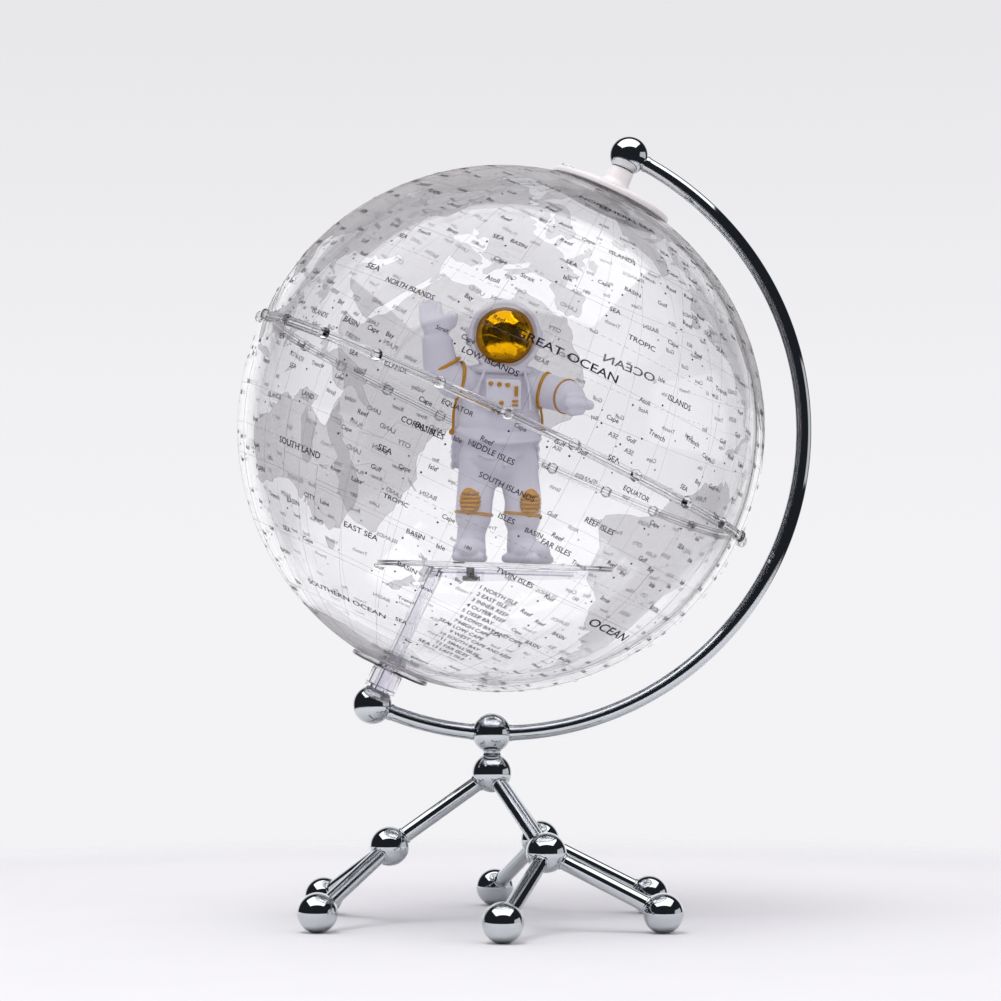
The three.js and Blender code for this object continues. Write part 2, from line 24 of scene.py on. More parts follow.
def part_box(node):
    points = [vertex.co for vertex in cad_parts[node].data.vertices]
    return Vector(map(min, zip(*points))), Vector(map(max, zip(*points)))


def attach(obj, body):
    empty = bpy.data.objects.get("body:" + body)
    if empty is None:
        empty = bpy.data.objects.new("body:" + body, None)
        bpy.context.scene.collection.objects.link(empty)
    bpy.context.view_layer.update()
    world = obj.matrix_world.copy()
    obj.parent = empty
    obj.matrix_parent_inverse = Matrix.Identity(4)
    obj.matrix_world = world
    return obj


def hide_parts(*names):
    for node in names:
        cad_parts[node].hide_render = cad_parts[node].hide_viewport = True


LOG = logging.getLogger("globe")
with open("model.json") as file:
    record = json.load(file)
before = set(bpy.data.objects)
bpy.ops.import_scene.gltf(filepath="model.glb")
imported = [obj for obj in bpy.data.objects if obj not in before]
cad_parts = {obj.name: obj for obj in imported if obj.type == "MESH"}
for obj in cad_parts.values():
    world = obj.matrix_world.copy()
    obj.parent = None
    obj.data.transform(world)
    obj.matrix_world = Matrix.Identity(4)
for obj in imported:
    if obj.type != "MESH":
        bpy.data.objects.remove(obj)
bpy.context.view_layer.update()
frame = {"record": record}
MM = 0.001
ACRYLIC_IOR = 1.49

Point = Sequence[float]
Profile = Iterable[Point]


# ---------------------------------------------------------------- choices and finishes


class Body(str, Enum):
    """The frame's rigid bodies."""

    TRIPOD = "tripod"
    ARM = "arm"
    GLOBE = "globe"


class Slot(str, Enum):
    """The record's material slots."""

    CHROME = "chrome"
    ACRYLIC = "clear_acrylic"
    WHITE = "white_plastic"
    STEEL = "steel"
    VINYL = "vinyl"
    GOLD = "gold_mirror"
    OCHRE = "ochre_paint"


@dataclass(frozen=True)
class Finish:
    """A surface's plain values, and the pattern that keeps them from being even.

    Attributes:
        colour: sRGB hex.
        second: sRGB hex that the pattern mixes in.
        metallic: how much of it reflects as bare metal, 0 to 1.
        roughness: lowest and highest roughness over the pattern.
        grain_mm: size of the pattern's features.
        bump_mm: height of the pattern's relief.
    """

    colour: str
    second: str
    metallic: float = 0.0
    roughness: tuple[float, float] = (0.3, 0.4)
    grain_mm: float = 5.0
    bump_mm: float = 0.0


CHROME = Finish("#ced2d5", "#c3c8cc", 1.0, (0.02, 0.05), 14.0)
STEEL = Finish("#c3c2b6", "#9f9d90", 0.7, (0.26, 0.4), 1.2, 0.01)
WHITE = Finish("#ebe7e8", "#e0dada", 0.0, (0.3, 0.42), 3.0, 0.004)
VINYL = Finish("#dcdae5", "#d1cedb", 0.0, (0.5, 0.62), 5.0, 0.09)
GOLD = Finish("#ffc20a", "#f3aa00", 1.0, (0.02, 0.06), 3.6, 0.15)
OCHRE = Finish("#dba136", "#b37a1f", 0.3, (0.3, 0.45), 1.5, 0.03)


def linear(hex_colour: str) -> tuple[float, float, float, float]:
    """The linear RGBA of an sRGB hex colour.

    Args:
        hex_colour: such as "#a0b0c0".

    Returns:
        Red, green, blue and an alpha of 1.
    """
    values = [int(hex_colour[i : i + 2], 16) / 255 for i in (1, 3, 5)]
    turned = [v / 12.92 if v <= 0.04045 else ((v + 0.055) / 1.055) ** 2.4 for v in values]
    return (turned[0], turned[1], turned[2], 1.0)


# ---------------------------------------------------------------- shader helpers


Value = float | Sequence[float] | bpy.types.NodeSocket


def add_node(
    tree: bpy.types.NodeTree, kind: str, inputs: dict | None = None, **settings: str
) -> bpy.types.Node:
    """Adds one node with its settings, values and links.

    Args:
        tree: where it goes.
        kind: the node's type name.
        inputs: socket name or number to a value or to another node's output.
        settings: the node's own attributes.

    Returns:
        The node.
    """
    made = tree.nodes.new(kind)
    for name, value in settings.items():
        setattr(made, name, value)
    for key, value in (inputs or {}).items():
        socket = made.inputs[key]
        if isinstance(value, bpy.types.NodeSocket):
            tree.links.new(value, socket)
        else:
            socket.default_value = value
    return made


def mixed_colour(tree: bpy.types.NodeTree, factor: Value, first: Value, second: Value) -> bpy.types.NodeSocket:
    """A colour between two colours."""
    inputs = {"Factor": factor, 6: first, 7: second}
    return add_node(tree, "ShaderNodeMix", inputs, data_type="RGBA").outputs[2]


def arithmetic(tree: bpy.types.NodeTree, operation: str, first: Value, second: Value) -> bpy.types.NodeSocket:
    """The result of one step of arithmetic."""
    return add_node(tree, "ShaderNodeMath", {0: first, 1: second}, operation=operation).outputs[0]


def blended(
    tree: bpy.types.NodeTree, share: Value, first: bpy.types.Node, second: bpy.types.Node
) -> bpy.types.Node:
    """A blend of two shaders, with this share of the second."""
    return add_node(tree, "ShaderNodeMixShader", {0: share, 1: first.outputs[0], 2: second.outputs[0]})


def new_material(name: str) -> tuple[bpy.types.Material, bpy.types.NodeTree, bpy.types.Node]:
    """An empty node material with its output node."""
    material = bpy.data.materials.new(name)
    material.use_nodes = True
    tree = material.node_tree
    tree.nodes.clear()
    return material, tree, tree.nodes.new("ShaderNodeOutputMaterial")


def grain(tree: bpy.types.NodeTree, size_mm: float, detail: float = 3.0) -> bpy.types.NodeSocket:
    """The value of a noise whose features are about size_mm across."""
    spot = add_node(tree, "ShaderNodeTexCoord").outputs["Object"]
    inputs = {"Vector": spot, "Scale": 1 / (size_mm * MM), "Detail": detail, "Roughness": 0.55}
    return add_node(tree, "ShaderNodeTexNoise", inputs).outputs["Fac"]


def surface(name: str, finish: Finish, sheen: float = 0.0) -> bpy.types.Material:
    """An opaque material whose colour, gloss and relief vary over the finish's grain."""
    material, tree, out = new_material(name)
    value = grain(tree, finish.grain_mm)
    low, high = finish.roughness
    spread = {"Value": value, "From Min": 0.3, "From Max": 0.7, "To Min": low, "To Max": high}
    inputs = {
        "Base Color": mixed_colour(tree, value, linear(finish.colour), linear(finish.second)),
        "Metallic": finish.metallic,
        "Roughness": add_node(tree, "ShaderNodeMapRange", spread).outputs[0],
        "Sheen Weight": sheen,
    }
    shader = add_node(tree, "ShaderNodeBsdfPrincipled", inputs)
    if finish.bump_mm:
        relief = {"Height": value, "Strength": 1.0, "Distance": finish.bump_mm * MM}
        tree.links.new(add_node(tree, "ShaderNodeBump", relief).outputs[0], shader.inputs["Normal"])
    tree.links.new(shader.outputs[0], out.inputs[0])
    return material


def clear(name: str, colour: str, roughness: tuple[float, float]) -> bpy.types.Material:
    """Clear acrylic: it bends light at its walls, and lets lamps through to what stands inside."""
    material, tree, out = new_material(name)
    spread = {0: grain(tree, 9.0), 3: roughness[0], 4: roughness[1]}
    rough = add_node(tree, "ShaderNodeMapRange", spread).outputs[0]
    inputs = {"Base Color": linear(colour), "Roughness": rough, "IOR": ACRYLIC_IOR, "Transmission Weight": 1.0}
    glass = add_node(tree, "ShaderNodeBsdfPrincipled", inputs)
    open_air = add_node(tree, "ShaderNodeBsdfTransparent", {"Color": linear("#f8f8f9")})
    shadow = add_node(tree, "ShaderNodeLightPath").outputs["Is Shadow Ray"]
    tree.links.new(blended(tree, shadow, glass, open_air).outputs[0], out.inputs[0])
    return material


def ink(name: str, colour: str, second: str, cover: float, grain_mm: float = 6.0) -> bpy.types.Material:
    """Screen print on clear acrylic: a film that covers only part of what is behind it."""
    material, tree, out = new_material(name)
    tone = mixed_colour(tree, grain(tree, grain_mm, 2.0), linear(colour), linear(second))
    paint = add_node(tree, "ShaderNodeBsdfDiffuse", {"Color": tone, "Roughness": 0.2})
    film = blended(tree, 0.5, paint, add_node(tree, "ShaderNodeBsdfTranslucent", {"Color": tone}))
    open_air = add_node(tree, "ShaderNodeBsdfTransparent")
    tree.links.new(blended(tree, cover, open_air, film).outputs[0], out.inputs[0])
    return material


class Paints:
    """Every material of the object, made once."""

    def __init__(self) -> None:
        """Makes them."""
        # Mirror plate on steel: the hard black and white edges of the studio show in it.
        self.chrome = surface("chrome_plate", CHROME)
        # Clear moulded acrylic: bright edges where its walls turn away.
        self.acrylic = clear("clear_acrylic", "#fdfdfe", (0.0, 0.006))
        # Thicker clear parts carry a faint grey tint at their edges.
        self.thick_acrylic = clear("clear_acrylic_thick", "#f6f5f9", (0.0, 0.04))
        # Satin white moulding of the pole fittings.
        self.white = surface("white_moulding", WHITE)
        # Turned steel of the screw, the pin and the stud.
        self.steel = surface("turned_steel", STEEL)
        # Matt lavender-grey paint of the figure, with soft wrinkles.
        self.vinyl = surface("painted_vinyl", VINYL, 0.05)
        # Vacuum-metallised visor: slightly uneven, so its reflections break up.
        self.gold = surface("gold_mirror", GOLD)
        # Brushed-on ochre gold of straps, pads and buttons.
        self.ochre = surface("ochre_gold_paint", OCHRE)
        # Warm grey land print.
        self.land = ink("print_land", "#adaaac", "#b9b5b6", 0.28, 30.0)
        # Dark print of words, dots and borders.
        self.words = ink("print_words", "#241f23", "#332d32", 0.93)
        # Pale backing of the words, which is the side seen from inside.
        self.backing = ink("print_backing", "#b4b7c0", "#a9acb6", 0.88)
        # Thin grey graticule.
        self.lines = ink("print_graticule", "#8d8b92", "#9b99a0", 0.42)


# ---------------------------------------------------------------- shapes


@dataclass
class Shape:
    """Points and faces of a closed surface, in metres."""

    points: np.ndarray
    faces: list[tuple[int, ...]] = field(default_factory=list)

    def moved(self, matrix: Matrix) -> Shape:
        """This shape carried by a 4x4 matrix."""
        m = np.array(matrix)
        return Shape(self.points @ m[:3, :3].T + m[:3, 3], self.faces)

    @staticmethod
    def joined(parts: Iterable[Shape]) -> Shape:
        """One shape that holds all the parts."""
        points, faces, count = [], [], 0
        for part in parts:
            points.append(part.points)
            faces.extend(tuple(i + count for i in face) for face in part.faces)
            count += len(part.points)
        return Shape(np.concatenate(points), faces)


def in_mm(points: Iterable[Point]) -> list[tuple[float, ...]]:
    """Points given in millimetres, in metres."""
    return [tuple(c * MM for c in point) for point in points]


def around(steps: int) -> np.ndarray:
    """Evenly spaced angles of a full turn."""
    return np.linspace(0, 2 * math.pi, steps, endpoint=False)


def hoop(radius: float, height: float, across: float, tall: float, steps: int) -> list[tuple[float, float]]:
    """The profile of a ring with an oval section, at a radius and a height."""
    return [(radius + across * math.cos(t), height + tall * math.sin(t)) for t in around(steps)]


def axis_frame(origin: Point, z_axis: Point) -> Matrix:
    """A matrix that carries +Z to z_axis and the origin to the point given."""
    turn = Vector(z_axis).to_track_quat("Z", "Y").to_matrix().to_4x4()
    return Matrix.Translation(Vector(origin)) @ turn


def lathe(profile: Profile, segments: int = 64) -> Shape:
    """A profile of (radius, height) turned about Z.

    Args:
        profile: it starts and ends on the axis, or closes on itself.
        segments: steps of the full turn.

    Returns:
        The closed shape.
    """
    angles = around(segments)
    points: list[tuple[float, float, float]] = []
    rings: list[list[int]] = []
    for r, h in profile:
        if r < 1e-9:
            rings.append([len(points)])
            points.append((0.0, 0.0, h))
        else:
            rings.append(list(range(len(points), len(points) + segments)))
            points.extend((r * math.cos(a), r * math.sin(a), h) for a in angles)
    pairs = list(zip(rings, rings[1:]))
    if len(rings[0]) > 1:
        pairs.append((rings[-1], rings[0]))
    faces: list[tuple[int, ...]] = []
    for low, high in pairs:
        for i in range(segments):
            j = (i + 1) % segments
            face = (low[i % len(low)], low[j % len(low)], high[j % len(high)], high[i % len(high)])
            unique = tuple(dict.fromkeys(face))
            if len(unique) > 2:
                faces.append(unique)
    return Shape(np.array(points, float), faces)


def rounded(corners: Sequence[Point], radius: float, steps: int = 3) -> list[tuple[float, float]]:
    """A polygon profile with its corners rounded, except those on the axis."""
    made: list[tuple[float, float]] = []
    count = len(corners)
    for i, corner in enumerate(corners):
        here = Vector(corner)
        if corner[0] < 1e-9:
            made.append(corner)
            continue
        before, after = Vector(corners[i - 1]), Vector(corners[(i + 1) % count])
        reach = min(radius, (before - here).length * 0.45, (after - here).length * 0.45)
        start = here + (before - here).normalized() * reach
        end = here + (after - here).normalized() * reach
        for k in range(steps + 1):
            t = k / steps
            made.append(tuple(start * (1 - t) ** 2 + here * 2 * t * (1 - t) + end * t * t))
    return made


def arc(radius: float, start: float, end: float, steps: int) -> list[tuple[float, float]]:
    """Points at a radius from the origin, between two latitudes in degrees."""
    turns = np.radians(np.linspace(start, end, steps + 1))
    return [(radius * math.cos(t), radius * math.sin(t)) for t in turns]


def sweep(path: np.ndarray, radius: float | np.ndarray, sides: int = 12, closed: bool = False) -> Shape:
    """A round bar along a path, its section carried without twist.

    Args:
        path: points, one row each.
        radius: one value, or one for each point.
        sides: of the section.
        closed: whether the path is a loop.

    Returns:
        The closed shape.
    """
    count = len(path)
    radii = np.broadcast_to(np.asarray(radius, float), (count,))
    ahead = np.roll(path, -1, 0) - np.roll(path, 1, 0)
    if not closed:
        ahead[0], ahead[-1] = path[1] - path[0], path[-1] - path[-2]
    ahead /= np.linalg.norm(ahead, axis=1)[:, None]
    side = np.cross(ahead[0], (0, 0, 1) if abs(ahead[0][2]) < 0.9 else (1, 0, 0))
    rings = []
    turns = around(sides)
    for point, way, r in zip(path, ahead, radii):
        side = side - way * (side @ way)
        side /= np.linalg.norm(side)
        other = np.cross(way, side)
        rings.append(point + r * (np.outer(np.cos(turns), side) + np.outer(np.sin(turns), other)))
    points = np.concatenate(rings)
    faces: list[tuple[int, ...]] = []
    for k in range(count if closed else count - 1):
        a, b = k * sides, (k + 1) % count * sides
        faces.extend((a + i, a + (i + 1) % sides, b + (i + 1) % sides, b + i) for i in range(sides))
    if not closed:
        faces.append(tuple(range(sides))[::-1])
        faces.append(tuple(range((count - 1) * sides, count * sides)))
    return Shape(points, faces)


def smooth_path(points: Sequence[Point], steps: int = 8) -> np.ndarray:
    """A Catmull-Rom line through the points."""
    p = np.array([points[0], *points, points[-1]], float)
    made = []
    for i in range(1, len(p) - 2):
        for t in np.linspace(0, 1, steps, endpoint=False):
            a, b, c, d = p[i - 1], p[i], p[i + 1], p[i + 2]
            bend = (2 * a - 5 * b + 4 * c - d) * t**2 + (3 * b - a - 3 * c + d) * t**3
            made.append(0.5 * (2 * b + (c - a) * t + bend))
    made.append(p[-2])
    return np.array(made)


def cord(points: Sequence[Point], radius: float, sides: int) -> Shape:
    """A round bar along a smooth line through the points."""
    return sweep(smooth_path(points), radius, sides)


def ellipsoid(centre: Point, radii: Point, segments: int = 32) -> Shape:
    """An ellipsoid with its poles along Z."""
    profile = [(max(r, 0.0), h) for r, h in arc(1, -90, 90, segments // 2)]
    profile[0], profile[-1] = (0.0, -1.0), (0.0, 1.0)
    unit = lathe(profile, segments)
    return Shape(unit.points * np.array(radii) + np.array(centre), unit.faces)


def limb(a: Point, b: Point, radius_a: float, radius_b: float) -> Shape:
    """A tapered bar with round ends."""
    start, end = np.array(a, float), np.array(b, float)
    length = float(np.linalg.norm(end - start))
    low = [(r, h) for r, h in arc(radius_a, -90, 0, 8)]
    high = [(r, h + length) for r, h in arc(radius_b, 0, 90, 8)]
    low[0], high[-1] = (0.0, -radius_a), (0.0, length + radius_b)
    return lathe([*low, *high], 28).moved(axis_frame(a, end - start))


def box_shape(low: Point, high: Point, radius: float) -> Shape:
    """A box with rounded edges."""
    made = bmesh.new()
    bmesh.ops.create_cube(made, size=1.0)
    size, middle = Vector(high) - Vector(low), (Vector(high) + Vector(low)) / 2
    for vertex in made.verts:
        vertex.co = Vector(c * s for c, s in zip(vertex.co, size)) + middle
    bmesh.ops.bevel(made, geom=made.edges[:], offset=radius, segments=4, profile=0.5, affect="EDGES")
    made.verts.ensure_lookup_table()
    shape = Shape(np.array([v.co for v in made.verts]), [tuple(v.index for v in f.verts) for f in made.faces])
    made.free()
    return shape


# ---------------------------------------------------------------- objects


def mesh_of(name: str, shape: Shape, sharp_deg: float = 40.0) -> bpy.types.Mesh:
    """A clean mesh of a shape, normals outward, smooth up to the angle given."""
    mesh = bpy.data.meshes.new(name)
    mesh.from_pydata(shape.points.tolist(), [], shape.faces)
    edit = bmesh.new()
    edit.from_mesh(mesh)
    bmesh.ops.remove_doubles(edit, verts=edit.verts[:], dist=1e-7)
    bmesh.ops.recalc_face_normals(edit, faces=edit.faces[:])
    edit.to_mesh(mesh)
    edit.free()
    for polygon in mesh.polygons:
        polygon.use_smooth = True
    mesh.set_sharp_from_angle(angle=math.radians(sharp_deg))
    return mesh


def place(
    name: str,
    shape: Shape | bpy.types.Mesh,
    paint: bpy.types.Material,
    body: Body,
    nodes: Sequence[str] = (),
    sharp_deg: float = 40.0,
) -> bpy.types.Object:
    """Adds a finished piece to the scene and to the frame.

    Args:
        name: the piece's own name.
        shape: its shape, or a finished mesh.
        paint: its material.
        body: the CAD body it moves with.
        nodes: the CAD nodes it stands for.
        sharp_deg: edges over this angle stay sharp.

    Returns:
        The object.
    """
    mesh = shape if isinstance(shape, bpy.types.Mesh) else mesh_of(name, shape, sharp_deg)
    mesh.name = name
    mesh.materials.clear()
    mesh.materials.append(paint)
    made = bpy.data.objects.new(name, mesh)
    bpy.context.scene.collection.objects.link(made)
    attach(made, body.value)
    if nodes:
        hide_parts(*nodes)
    return made


def with_modifiers(name: str, shape: Shape, add: Callable[[bpy.types.Object], None]) -> bpy.types.Mesh:
    """The mesh that a shape becomes once its modifiers are applied."""
    source = bpy.data.objects.new(name, mesh_of(name, shape))
    bpy.context.scene.collection.objects.link(source)
    add(source)
    bpy.context.view_layer.update()
    graph = bpy.context.evaluated_depsgraph_get()
    mesh = bpy.data.meshes.new_from_object(source.evaluated_get(graph))
    bpy.data.objects.remove(source)
    for polygon in mesh.polygons:
        polygon.use_smooth = True
    return mesh


def melted(name: str, parts: Sequence[Shape], voxel_mm: float, smooth: int = 6) -> bpy.types.Mesh:
    """Parts fused into one soft skin, as a moulded figure has."""

    def add(target: bpy.types.Object) -> None:
        """Adds the remesh and the smoothing."""
        remesh = target.modifiers.new("skin", "REMESH")
        remesh.mode = "VOXEL"
        remesh.voxel_size = voxel_mm * MM
        relax = target.modifiers.new("relax", "SMOOTH")
        relax.factor = 0.5
        relax.iterations = smooth

    return with_modifiers(name, Shape.joined(parts), add)


# ---------------------------------------------------------------- geometry nodes


class Repeater:
    """A Geometry Nodes tree that sets copies of one shape round a ring and joins them into a mesh."""

    def __init__(self) -> None:
        """Builds the tree."""
        tree = bpy.data.node_groups.new("ring_of_copies", "GeometryNodeTree")
        kinds = {"Geometry": "Geometry", "Copies": "Int", "Turn": "Float", "Vary": "Float", "Seed": "Int"}
        for name, kind in (*kinds.items(), ("Paint", "Material")):
            tree.interface.new_socket(name, in_out="INPUT", socket_type=f"NodeSocket{kind}")
        tree.interface.new_socket("Geometry", in_out="OUTPUT", socket_type="NodeSocketGeometry")
        given = tree.nodes.new("NodeGroupInput").outputs
        result = tree.nodes.new("NodeGroupOutput")
        index = add_node(tree, "GeometryNodeInputIndex").outputs[0]
        line = add_node(tree, "GeometryNodeMeshLine", {"Count": given["Copies"], "Offset": (0, 0, 0)})
        angle = arithmetic(tree, "MULTIPLY", index, given["Turn"])
        turn = add_node(tree, "ShaderNodeCombineXYZ", {"Z": angle}).outputs[0]
        low = arithmetic(tree, "SUBTRACT", 1.0, given["Vary"])
        limits = {"Min": low, "Max": 1.0, "Seed": given["Seed"]}
        size = add_node(tree, "FunctionNodeRandomValue", limits, data_type="FLOAT")
        inputs = {
            "Points": line.outputs[0],
            "Instance": given["Geometry"],
            "Rotation": turn,
            "Scale": size.outputs["Value"],
        }
        copies = add_node(tree, "GeometryNodeInstanceOnPoints", inputs).outputs[0]
        real = add_node(tree, "GeometryNodeRealizeInstances", {0: copies}).outputs[0]
        painted = add_node(tree, "GeometryNodeSetMaterial", {"Geometry": real, "Material": given["Paint"]})
        tree.links.new(painted.outputs[0], result.inputs[0])
        self.tree = tree

    def ring(
        self, name: str, shape: Shape, copies: int, turn: float, paint: bpy.types.Material, vary: float = 0.0
    ) -> bpy.types.Mesh:
        """Copies of a shape, each turned about Z from the last.

        Args:
            name: of the mesh.
            shape: one copy, in the ring's own frame.
            copies: how many.
            turn: radians from one to the next.
            paint: the material they get.
            vary: the share by which a copy may be smaller, from a fixed seed.

        Returns:
            The joined mesh, in the ring's own frame.
        """

        def add(target: bpy.types.Object) -> None:
            """Adds the tree and fills in its inputs."""
            modifier = target.modifiers.new("copies", "NODES")
            modifier.node_group = self.tree
            values = {"Copies": copies, "Turn": turn, "Vary": vary, "Seed": 7, "Paint": paint}
            for item in self.tree.interface.items_tree:
                if item.in_out == "INPUT" and item.name in values:
                    modifier[item.identifier] = values[item.name]

        return with_modifiers(name, shape, add)


# ---------------------------------------------------------------- where things are


@dataclass(frozen=True)
class Layout:
    """Places read from the CAD frame.

    Attributes:
        hub: centre of the tripod's hub ball.
        arm_hub: centre of the ball that holds the arm.
        knees: centres of the knee balls.
        feet: centres of the foot balls.
        globe: centre of the sphere.
        axis: the sphere's axis, to its north.
        arm_radius: of the arm's centreline about the sphere's centre.
    """

    hub: Vector
    arm_hub: Vector
    knees: tuple[Vector, ...]
    feet: tuple[Vector, ...]
    globe: Vector
    axis: Vector
    arm_radius: float

    @staticmethod
    def read(ball: float) -> Layout:
        """Reads the frame's boxes and joints."""

        def middle(node: str, top: bool) -> Vector:
            """Centre of a ball, from its top or from its bottom."""
            low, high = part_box(node)
            return Vector(((low.x + high.x) / 2, (low.y + high.y) / 2, high.z - ball if top else low.z + ball))

        joints = {j["name"]: j for j in frame["record"]["behaviour"]["joints"]}
        spin = joints["globe_spin"]
        globe = Vector(spin["pos_m"])
        arm_hub = middle("arm_hub_ball", True)
        return Layout(
            hub=middle("tripod_hub_ball", False),
            arm_hub=arm_hub,
            knees=tuple(middle(f"knee_ball_{i}", True) for i in (1, 2, 3)),
            feet=tuple(middle(f"foot_ball_{i}", True) for i in range(1, 7)),
            globe=globe,
            axis=Vector(spin["axis"]).normalized(),
            arm_radius=(arm_hub - globe).length,
        )

    @property
    def leaning(self) -> Matrix:
        """The sphere's own frame: origin at its centre, +Z to its north, +X under the arm."""
        side = Vector((0, 1, 0)).cross(self.axis).normalized()
        turn = Matrix((side, (0, 1, 0), self.axis)).transposed().to_4x4()
        return Matrix.Translation(self.globe) @ turn


# ---------------------------------------------------------------- the stand


@dataclass(frozen=True)
class StandSizes:
    """Sizes of the chromed stand, in millimetres.

    Attributes:
        ball: radius of every ball.
        rod: radius of the rods and of the arm.
        lip: height of the rolled lip at a socket's mouth.
        socket: depth of a rod's end below the ball's surface.
        neck: radius of the spacer between the hub balls.
        flat_north: radius of the north ball's flat.
        flat_south: radius of the south ball's flat.
        foot_flat: radius of the ground flat under a foot.
    """

    ball: float = 7.5
    rod: float = 3.0
    lip: float = 0.35
    socket: float = 2.6
    neck: float = 3.65
    flat_north: float = 5.0
    flat_south: float = 4.6
    foot_flat: float = 1.6


@dataclass
class Stand:
    """Tripod and arm: chromed balls joined by chromed rods."""

    layout: Layout
    sizes: StandSizes
    paints: Paints

    def ball(self, centre: Vector, flat_way: Vector | None = None, flat_radius: float = 0.0) -> Shape:
        """A ball, with a slightly eased flat where one is asked for."""
        r = self.sizes.ball
        if flat_way is None:
            flat_way = Vector((0, 0, 1))
            profile = arc(r, -90, 90, 40)
            profile[-1] = (0.0, r)
        else:
            profile = arc(r, -90, math.degrees(math.acos(flat_radius / r)), 36)
            height = profile[-1][1] + 0.06
            profile += [(flat_radius - 0.15, height), (flat_radius * 0.6, height), (0.0, height)]
        profile[0] = (0.0, -r)
        return lathe(in_mm(profile), 72).moved(axis_frame(centre, flat_way))

    @property
    def mouth(self) -> float:
        """Distance from a ball's centre to the rim of a rod's socket, in millimetres."""
        return math.sqrt(self.sizes.ball**2 - self.sizes.rod**2)

    def rod(self, a: Vector, b: Vector) -> Shape:
        """A rod from ball to ball, with the small rolled lip at each socket's mouth."""
        s, mouth = self.sizes, self.mouth
        length = (b - a).length / MM
        inner = s.ball - s.socket
        rise = [(0.0, -0.3), (1.0, -0.1), (1.15, 0.25), (0.6, 0.55), (0.0, 0.62)]
        half = [(0.0, inner), (s.rod, inner), *((s.rod + s.lip * share, mouth + h) for share, h in rise)]
        profile = half + [(r, length - h) for r, h in reversed(half)]
        return lathe(in_mm(profile), 40).moved(axis_frame(a, b - a))

    def build(self) -> None:
        """Adds every chromed piece, and the steel stud and pin."""
        lay, s = self.layout, self.sizes
        up = Vector((0, 0, 1))
        tripod = {"tripod_hub_ball": self.ball(lay.hub, up, s.neck), "neck_spacer": self.neck()}
        for i, knee in enumerate(lay.knees, 1):
            tripod[f"knee_ball_{i}"] = self.ball(knee)
            tripod[f"upper_rod_{i}"] = self.rod(lay.hub, knee)
        for i, foot in enumerate(lay.feet):
            tripod[f"foot_ball_{i + 1}"] = self.ball(foot, -up, s.foot_flat)
            tripod[f"lower_rod_{i + 1}"] = self.rod(lay.knees[i // 2], foot)
        self.chrome(tripod, Body.TRIPOD)
        low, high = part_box("hub_stud")
        foot = Vector((lay.hub.x, lay.hub.y, 0))
        self.steel("hub_stud", 2.5, low.z / MM, high.z / MM, axis_frame(foot, up), Body.TRIPOD)
        arm = {
            "arm_hub_ball": self.ball(lay.arm_hub, -up, s.neck),
            "north_ball": self.ball(lay.globe + lay.axis * lay.arm_radius, -lay.axis, s.flat_north),
            "south_ball": self.ball(lay.globe - lay.axis * lay.arm_radius, lay.axis, s.flat_south),
            "arm_tube": self.arm(),
        }
        self.chrome(arm, Body.ARM)
        low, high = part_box("north_pin")
        along = ((low + high) / 2 - lay.globe).dot(lay.axis)
        self.steel("north_pin", 2, -11, 11, axis_frame(lay.globe + lay.axis * along, lay.axis), Body.ARM)

    def chrome(self, shapes: dict[str, Shape], body: Body) -> None:
        """Adds chromed pieces, each named by the node it stands for."""
        for node, shape in shapes.items():
            place(f"chrome_{node}", shape, self.paints.chrome, body, [node], 50)

    def steel(self, node: str, radius: float, low: float, high: float, where: Matrix, body: Body) -> None:
        """Adds a turned steel shaft with eased ends, its sizes in millimetres along its own axis."""
        profile = in_mm(rounded([(0, low), (radius, low), (radius, high), (0, high)], 0.3))
        place(f"steel_{node}", lathe(profile, 24).moved(where), self.paints.steel, body, [node])

    def neck(self) -> Shape:
        """The waisted spacer between the two hub balls."""
        low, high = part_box("neck_spacer")
        r, bore = self.sizes.neck, 2.6
        z0, z1 = low.z / MM - 0.25, high.z / MM + 0.25
        profile = rounded([(bore, z0), (r, z0), (r - 0.5, (z0 + z1) / 2), (r, z1), (bore, z1)], 0.2)
        return lathe(in_mm(profile), 48).moved(Matrix.Translation((self.layout.hub.x, self.layout.hub.y, 0)))

    def arm(self) -> Shape:
        """The arm, bent to half a circle about the sphere, with a rolled lip at each ball it enters."""
        lay, s = self.layout, self.sizes
        inset = (s.ball - 2.5) * MM / lay.arm_radius
        mouth = (self.mouth + 0.3) * MM / lay.arm_radius
        local = lay.leaning.inverted() @ lay.arm_hub
        hub = math.atan2(local.z, local.x)
        quarter = math.pi / 2
        angles = np.linspace(quarter - inset, -quarter + inset, 420)
        radii = np.full(len(angles), s.rod * MM)
        for lip in (quarter - mouth, -quarter + mouth, hub + mouth, hub - mouth):
            off = np.abs(angles - lip) * lay.arm_radius
            radii += s.lip * MM * np.clip(1 - (off / (0.75 * MM)) ** 2, 0, 1)
        path = np.stack([np.cos(angles), np.zeros_like(angles), np.sin(angles)], 1) * lay.arm_radius
        return sweep(path, radii, 40).moved(lay.leaning)


# ---------------------------------------------------------------- the printed map

